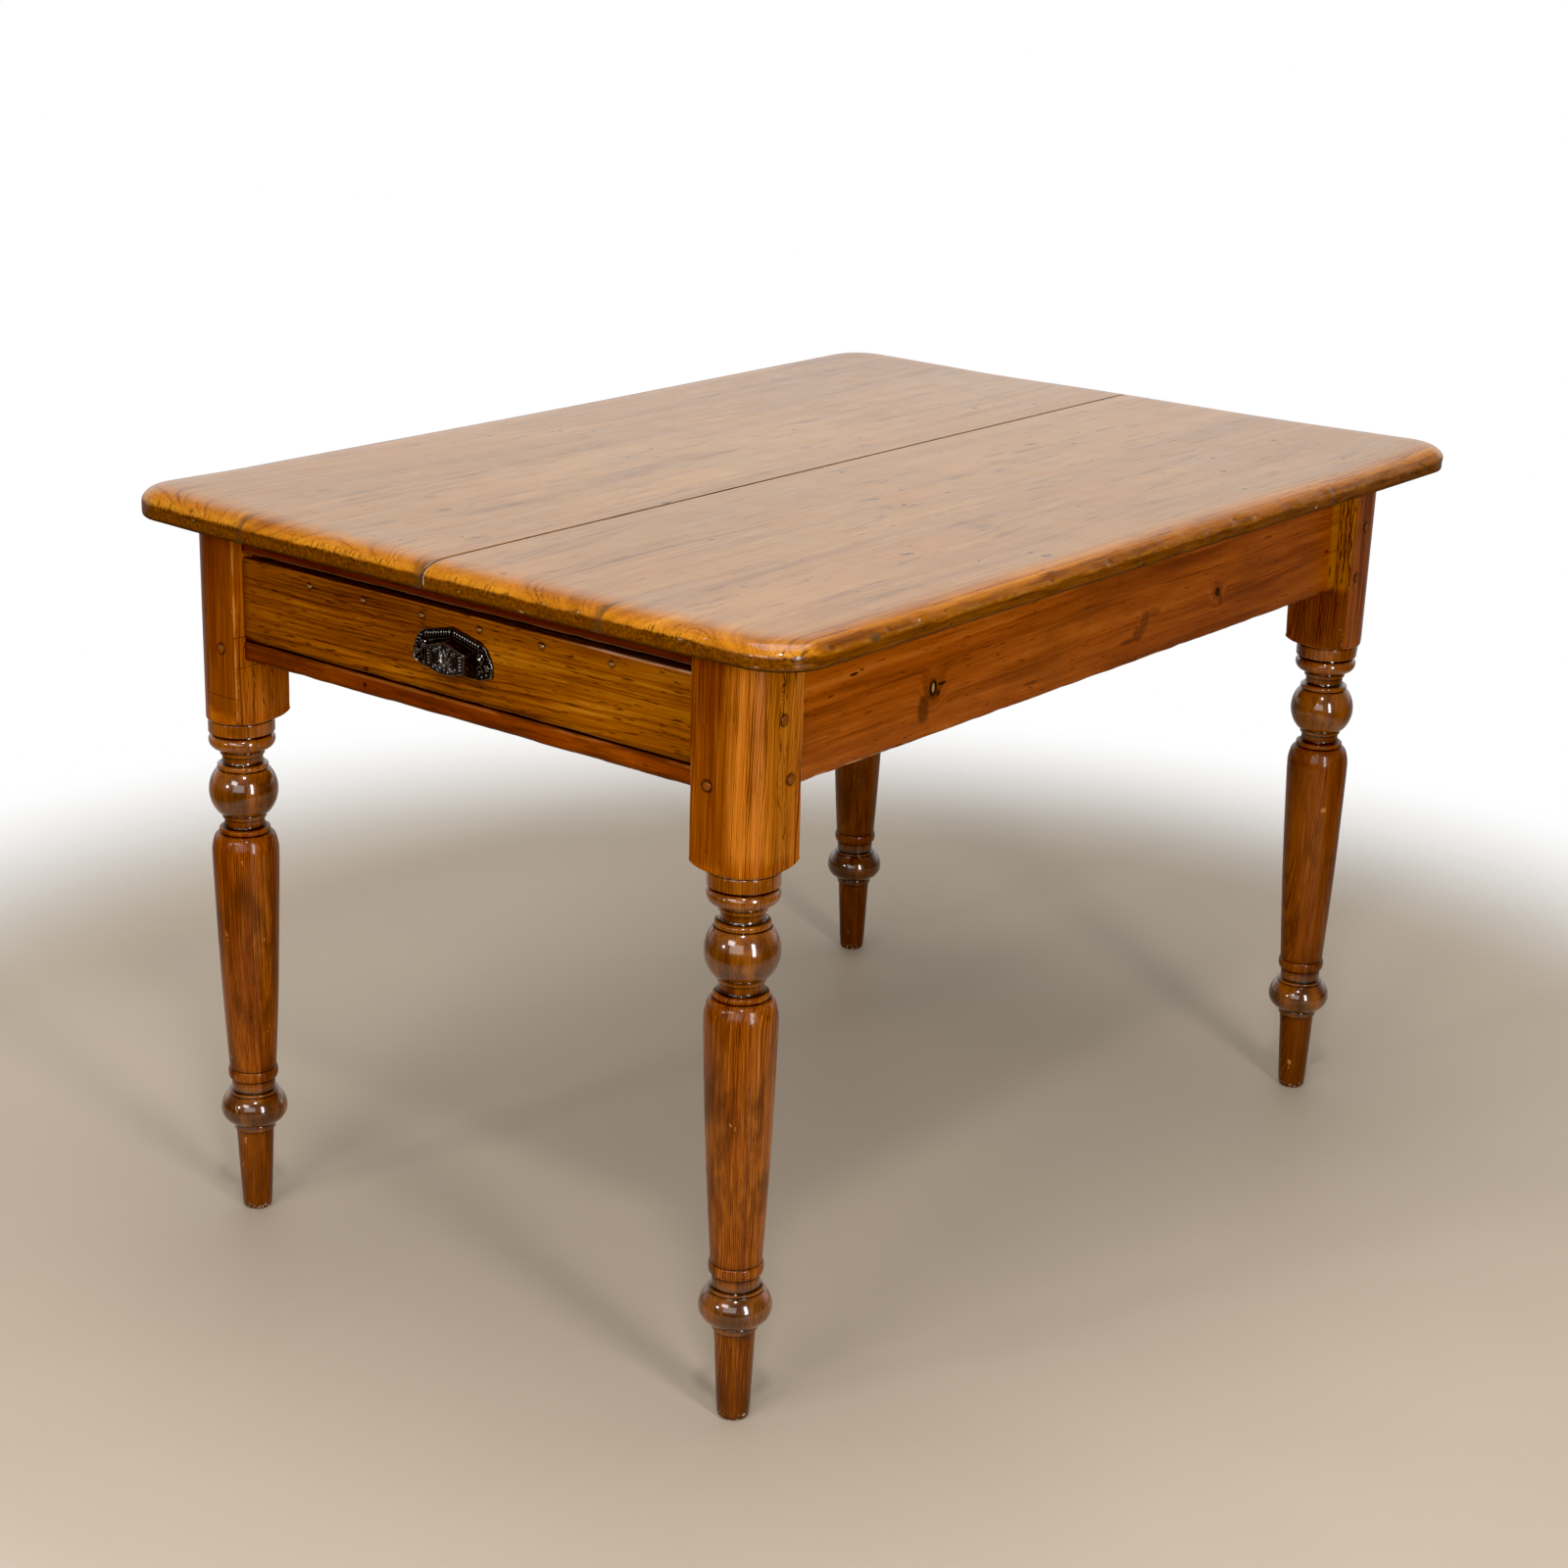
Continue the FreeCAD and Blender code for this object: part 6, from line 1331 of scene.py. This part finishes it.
    def section(d, wall):
        """Half outlines of the hood at depth d, from one foot over the roof to the other."""
        hw, wa, wb = wide(d) - wall, ridge(d) - wall * 1.05, foot(d)
        slope = 0.300
        r = max(0.3, 1.3 - wall * 0.4)
        eave = wa - slope * hw
        side = [(hw, wb + (eave - r - wb) * t) for t in np.linspace(0, 1, 9)]
        turn = []
        for t in (0.25, 0.5, 0.75):
            p0, p1, p2 = np.array((hw, eave - r)), np.array((hw, eave)), np.array((hw - r, eave + slope * r))
            turn.append(tuple((1 - t) ** 2 * p0 + 2 * t * (1 - t) * p1 + t * t * p2))
        roof = [((hw - r) * (1 - t), wa - slope * (hw - r) * (1 - t) - 0.25 * max(0.0, 1 - (hw - r) * (1 - t) / 1.2)) for t in np.linspace(0, 1, 16)]
        right_half = [(-u, w) for u, w in side + turn + roof]
        return right_half + [(-u, w) for u, w in reversed(right_half[:-1])]

    front = 13.4
    outer = [[vert(u, w, d, high) for u, w in section(d, 0.0)] for d, high in
             ((1.6, 0.0), (3.0, 0.1), (5.0, 0.25), (7.5, 0.3), (10.0, 0.35), (12.0, 0.5), (12.9, 0.9))]
    outer.append([vert(u, w, 13.45, 1.0) for u, w in section(14.0, 0.25)])
    outer.append([vert(u, w, 13.6, 0.9) for u, w in section(14.0, 0.8)])
    outer.append([vert(u, w, 13.3, 0.3) for u, w in section(14.0, 1.5)])
    outer.append([vert(u, w, 12.6, 0.0) for u, w in section(14.0, 1.7)])
    bridge(outer, closed=False)
    inner = [[vert(u, w, d) for u, w in section(d, 2.2)] for d in (11.2, 8.0, 5.0, 1.6)]
    bridge([outer[-1]] + inner, closed=False)
    loop = outer + inner
    for end in (0, -1):
        bm.faces.new([ring_[end] for ring_ in (loop if end == 0 else list(reversed(loop)))])

    lobes = [(0, 15.6, 2.5), (24, 14.6, 2.3), (-24, 14.6, 2.3), (49, 13.0, 2.2), (-49, 13.0, 2.2), (76, 11.4, 2.0), (-76, 11.4, 2.0),
             (106, 9.6, 1.8), (-106, 9.6, 1.8)]
    base_w = -8.6

    def relief(u, w):
        """Height of the ornament on the hood's front."""
        h = 0.0
        for deg, length, wid in lobes:
            a = math.radians(deg)
            du, dw = u, w - base_w
            p = du * math.sin(a) + dw * math.cos(a)
            q = du * math.cos(a) - dw * math.sin(a)
            t = p / length
            if 0.0 < t < 1.0:
                half_wid = wid * math.sin(math.pi * t ** 0.72) + 0.2
                k = abs(q) / half_wid
                if k < 1.0:
                    body = (1.0 - k ** 1.6) * (0.55 + 0.45 * math.sin(math.pi * t))
                    rib = 0.45 * math.exp(-(q / 0.40) ** 2)
                    h = max(h, (1.35 * body + rib) * min(1.0, 6 * t, 5 * (1 - t)))
        h = max(h, 2.1 * max(0.0, 1 - (u / 2.3) ** 2 - ((w - base_w + 0.6) / 2.3) ** 2) ** 0.5)
        h = max(h, 1.2 * max(0.0, 1 - (u / 1.6) ** 2 - ((w + 14.2) / 2.6) ** 2) ** 0.5)
        for sgn in (1, -1):
            for k in range(5):
                b = math.hypot(u - sgn * 19.6, w - (1.9 - 3.0 * k)) / 1.42
                if b < 1.0:
                    h = max(h, 1.7 * math.sqrt(1 - b * b))
            h = max(h, 0.8 * math.exp(-((u - sgn * 17.2) / 0.45) ** 2), 0.7 * math.exp(-((u - sgn * 22.2) / 0.5) ** 2))
            for cu, cw, rr in ((6.6, -13.6, 2.3), (12.4, -11.8, 1.9), (11.6, 3.6, 1.9), (5.6, 7.0, 1.5)):
                r = math.hypot(u - sgn * cu, w - cw)
                h = max(h, 1.05 * math.exp(-((r - rr) / 0.6) ** 2), 0.9 * max(0.0, 1 - (r / 0.9) ** 2))
        return h

    cols, rows = 145, 84
    hw = wide(14.0) - 1.1
    grid, back = [], []
    for i in range(rows):
        line, line2 = [], []
        for j in range(cols):
            a = -1 + 2 * j / (cols - 1)
            u = hw * a
            bottom = -13.7 - 4.4 * math.cos(0.5 * math.pi * a) ** 1.1
            top = ridge(14.0) - 1.0 - 0.300 * abs(u)
            w = bottom + (top - bottom) * i / (rows - 1)
            rim = min(hw - abs(u), top - w)
            h = relief(u, w) * min(1.0, max(0.0, (rim - 0.5) / 1.0)) * min(1.0, max(0.0, (w - bottom - 1.6) / 0.9))
            # rolled lip along the bottom, and a slight swell of the whole front
            k = (w - bottom) / 1.7
            lip = 1.15 * math.sqrt(max(0.0, 1 - (2 * k - 1) ** 2)) if k < 1.0 else 0.0
            swell = 0.5 * (1 - a * a)
            sink = 0.8 * max(0.0, 1 - rim / 0.6) ** 2
            d = front - 0.75 + swell + max(h, lip) - sink
            line.append(vert(u, w, d, min(1.0, h / 1.3 + 0.7 * (lip > 0.3))))
            line2.append(vert(u, w, 11.2))
        grid.append(line)
        back.append(line2)
    bridge(grid, closed=False)
    for p, q in zip(back[:-1], back[1:]):
        for k in range(cols - 1):
            bm.faces.new((p[k], q[k], q[k + 1], p[k + 1]))
    for k in range(cols - 1):
        bm.faces.new((grid[0][k + 1], grid[0][k], back[0][k], back[0][k + 1]))
        bm.faces.new((grid[-1][k], grid[-1][k + 1], back[-1][k + 1], back[-1][k]))
    for i in range(rows - 1):
        bm.faces.new((grid[i][0], grid[i + 1][0], back[i + 1][0], back[i][0]))
        bm.faces.new((grid[i + 1][-1], grid[i][-1], back[i][-1], back[i + 1][-1]))
    return finish_mesh("cast_cup_pull", bm, "drawer", ["cup_pull"], iron, sharp=42.0)


pull_piece()


def lathe_heads(name, node, mat, rows, profile, wide=1.0, tall=1.0):
    """Turned fixings driven along +X: rows of (y, z), profile of (radius, x, rim share) from the tip to the crown."""
    bm = bmesh.new()
    lay = bm.verts.layers.float.new("rim")
    n = 24
    for i, (y, z) in enumerate(rows):
        rings = []
        for r, x, share in profile:
            line = []
            for k in range(n):
                a = 2 * math.pi * k / n
                v = bm.verts.new((x, y + wide * r * math.cos(a), z + tall * r * math.sin(a)))
                v[lay] = share
                line.append(v)
            rings.append(line)
        for p, q in zip(rings[:-1], rings[1:]):
            for k in range(n):
                bm.faces.new((p[k], p[(k + 1) % n], q[(k + 1) % n], q[k]))
        bm.faces.new(rings[0])
        bm.faces.new(rings[-1])
    return finish_mesh(name, bm, "drawer", [node], mat, sharp=40.0)


lathe_heads("nail_heads", "drawer_front_nails", nail_head_mat, [(y, 695.0) for y in NAILS],
            [(0.4, -516.4, 0), (1.3, -518.5, 0), (1.4, -533.6, 1), (2.5, -534.0, 1), (2.55, -534.9, 1), (2.5, -535.25, 1),
             (2.2, -535.6, 0.7), (1.7, -535.95, 0.1), (1.0, -536.2, 0), (0.4, -536.3, 0)], wide=1.55, tall=0.85)
lathe_heads("screw_heads", "pull_screws", screw_mat, [(PULL_Y - 45.0, PULL_Z - 5.0), (PULL_Y + 45.0, PULL_Z - 5.0)],
            [(0.5, -520.0, 0), (1.6, -523.0, 0), (1.8, -537.6, 0), (3.3, -537.8, 1), (3.4, -538.4, 0.8), (3.2, -539.0, 0.3),
             (2.6, -539.5, 0), (1.7, -539.75, 0), (0.6, -539.85, 0)])


# ---------------------------------------------------------------- CAD pieces that keep their shape
def paint(mat, *names):
    for n in names:
        me = NODE[n].data
        me.materials.clear()
        me.materials.append(mat)


paint(raw_mat, "drawer_runner_right", "drawer_runner_left", "drawer_guide_right", "drawer_guide_left",
      "drawer_kicker_right", "drawer_kicker_left", "drawer_stops", "glue_blocks")
paint(side_mat, "drawer_side_right", "drawer_side_left", "drawer_back", "drawer_bottom_front", "drawer_bottom_rear")
paint(steel, "runner_screws", "kicker_screws", "guide_screws", "top_screws")
paint(nail, "drawer_bottom_nails")

# ---------------------------------------------------------------- floor and light
fl = bpy.data.meshes.new("floor")
ring = [(2.4 * math.cos(a * math.pi / 48), 2.4 * math.sin(a * math.pi / 48), 0.0) for a in range(96)]
fl.from_pydata(ring, [], [list(range(96))])
floor = bpy.data.objects.new("floor", fl)
scene.collection.objects.link(floor)
F = Mat("floor_pale")
n1 = F.noise(F.map(F.p, (0.004, 0.004, 0.004)), 3.0, 0.5)
F.shade(F.mix(n1, (0.47, 0.395, 0.31), (0.51, 0.43, 0.34)), F.madd(n1, 0.1, 0.5), spec=0.2)
rad = F.math("SQRT", F.madd(F.x, F.x, F.mul(F.y, F.y)))
tr = F.node("ShaderNodeBsdfTransparent")
mixer = F.node("ShaderNodeMixShader")
F.put(mixer.inputs[0], F.step(rad, 1000.0, 1650.0))
F.t.links.new(F.bsdf.outputs[0], mixer.inputs[1])
F.t.links.new(tr.outputs[0], mixer.inputs[2])
F.t.links.new(mixer.outputs[0], F.out.inputs[0])
fl.materials.append(F.m)

world = bpy.data.worlds.new("studio")
scene.world = world
world.use_nodes = True
wt = world.node_tree
wt.nodes.clear()
wo = wt.nodes.new("ShaderNodeOutputWorld")


def wnode(kind, *args, **props):
    n = wt.nodes.new(kind)
    for k, v in props.items():
        setattr(n, k, v)
    for i, v in enumerate(args):
        if isinstance(v, bpy.types.NodeSocket):
            wt.links.new(v, n.inputs[i])
        elif v is not None:
            n.inputs[i].default_value = v
    return n


gen = wnode("ShaderNodeTexCoord").outputs["Generated"]
sep = wnode("ShaderNodeSeparateXYZ", gen).outputs
far_side = wnode("ShaderNodeMath", wnode("ShaderNodeMath", sep[0], 0.7795, operation="MULTIPLY").outputs[0],
                 wnode("ShaderNodeMath", sep[1], 0.6264, operation="MULTIPLY").outputs[0], operation="ADD").outputs[0]
back = wnode("ShaderNodeMapRange", far_side, 0.1, 0.8, 0.0, 1.0, interpolation_type="SMOOTHSTEP").outputs[0]
lowband = wnode("ShaderNodeMapRange", sep[2], 0.66, 0.36, 0.0, 1.0, interpolation_type="SMOOTHSTEP").outputs[0]
above = wnode("ShaderNodeMapRange", sep[2], -0.05, 0.05, 0.3, 1.0, interpolation_type="SMOOTHSTEP").outputs[0]
glow = wnode("ShaderNodeMath", back, lowband, operation="MULTIPLY").outputs[0]
level = wnode("ShaderNodeMapRange", glow, 0.0, 1.0, 0.14, 1.0).outputs[0]
level = wnode("ShaderNodeMath", level, above, operation="MULTIPLY").outputs[0]
lit = wnode("ShaderNodeBackground", (1.0, 0.985, 0.965, 1.0), level)
seen = wnode("ShaderNodeBackground", (1.0, 1.0, 1.0, 1.0), 1.0)
path = wnode("ShaderNodeLightPath")
choose = wnode("ShaderNodeMixShader", path.outputs["Is Camera Ray"], lit.outputs[0], seen.outputs[0])
wt.links.new(choose.outputs[0], wo.inputs[0])


def area(name, loc, target, size, power, color=(1, 1, 1)):
    d = bpy.data.lights.new(name, "AREA")
    d.shape = "RECTANGLE"
    d.size, d.size_y = size
    d.energy = power
    d.color = color
    o = bpy.data.objects.new(name, d)
    o.location = loc
    o.rotation_mode = "QUATERNION"
    o.rotation_quaternion = (Vector(target) - Vector(loc)).to_track_quat("-Z", "Y")
    scene.collection.objects.link(o)
    return o


area("key", (-1.33, -3.23, 1.12), (-0.2, -0.2, 0.62), (0.52, 2.0), 68.0, (1.0, 0.98, 0.96))
area("left", (-3.5, -0.44, 2.3), (0.0, 0.0, 0.5), (1.25, 0.75), 34.0, (1.0, 0.97, 0.93))
area("fill", (-3.2, -1.4, 1.3), (-0.4, -0.1, 0.6), (2.2, 1.4), 29.0, (1.0, 0.97, 0.93))
area("window", (-3.86, 0.85, 1.4), (-0.5, 0.0, 0.65), (0.30, 0.30), 19.0, (1.0, 0.98, 0.95))
area("overhead", (0.1, 0.1, 3.2), (0.0, 0.0, 0.0), (2.0, 2.0), 52.0)
area("front", (-1.85, -1.5, 3.2), (-0.45, -0.3, 0.5), (0.3, 0.3), 28.0, (1.0, 0.97, 0.93))
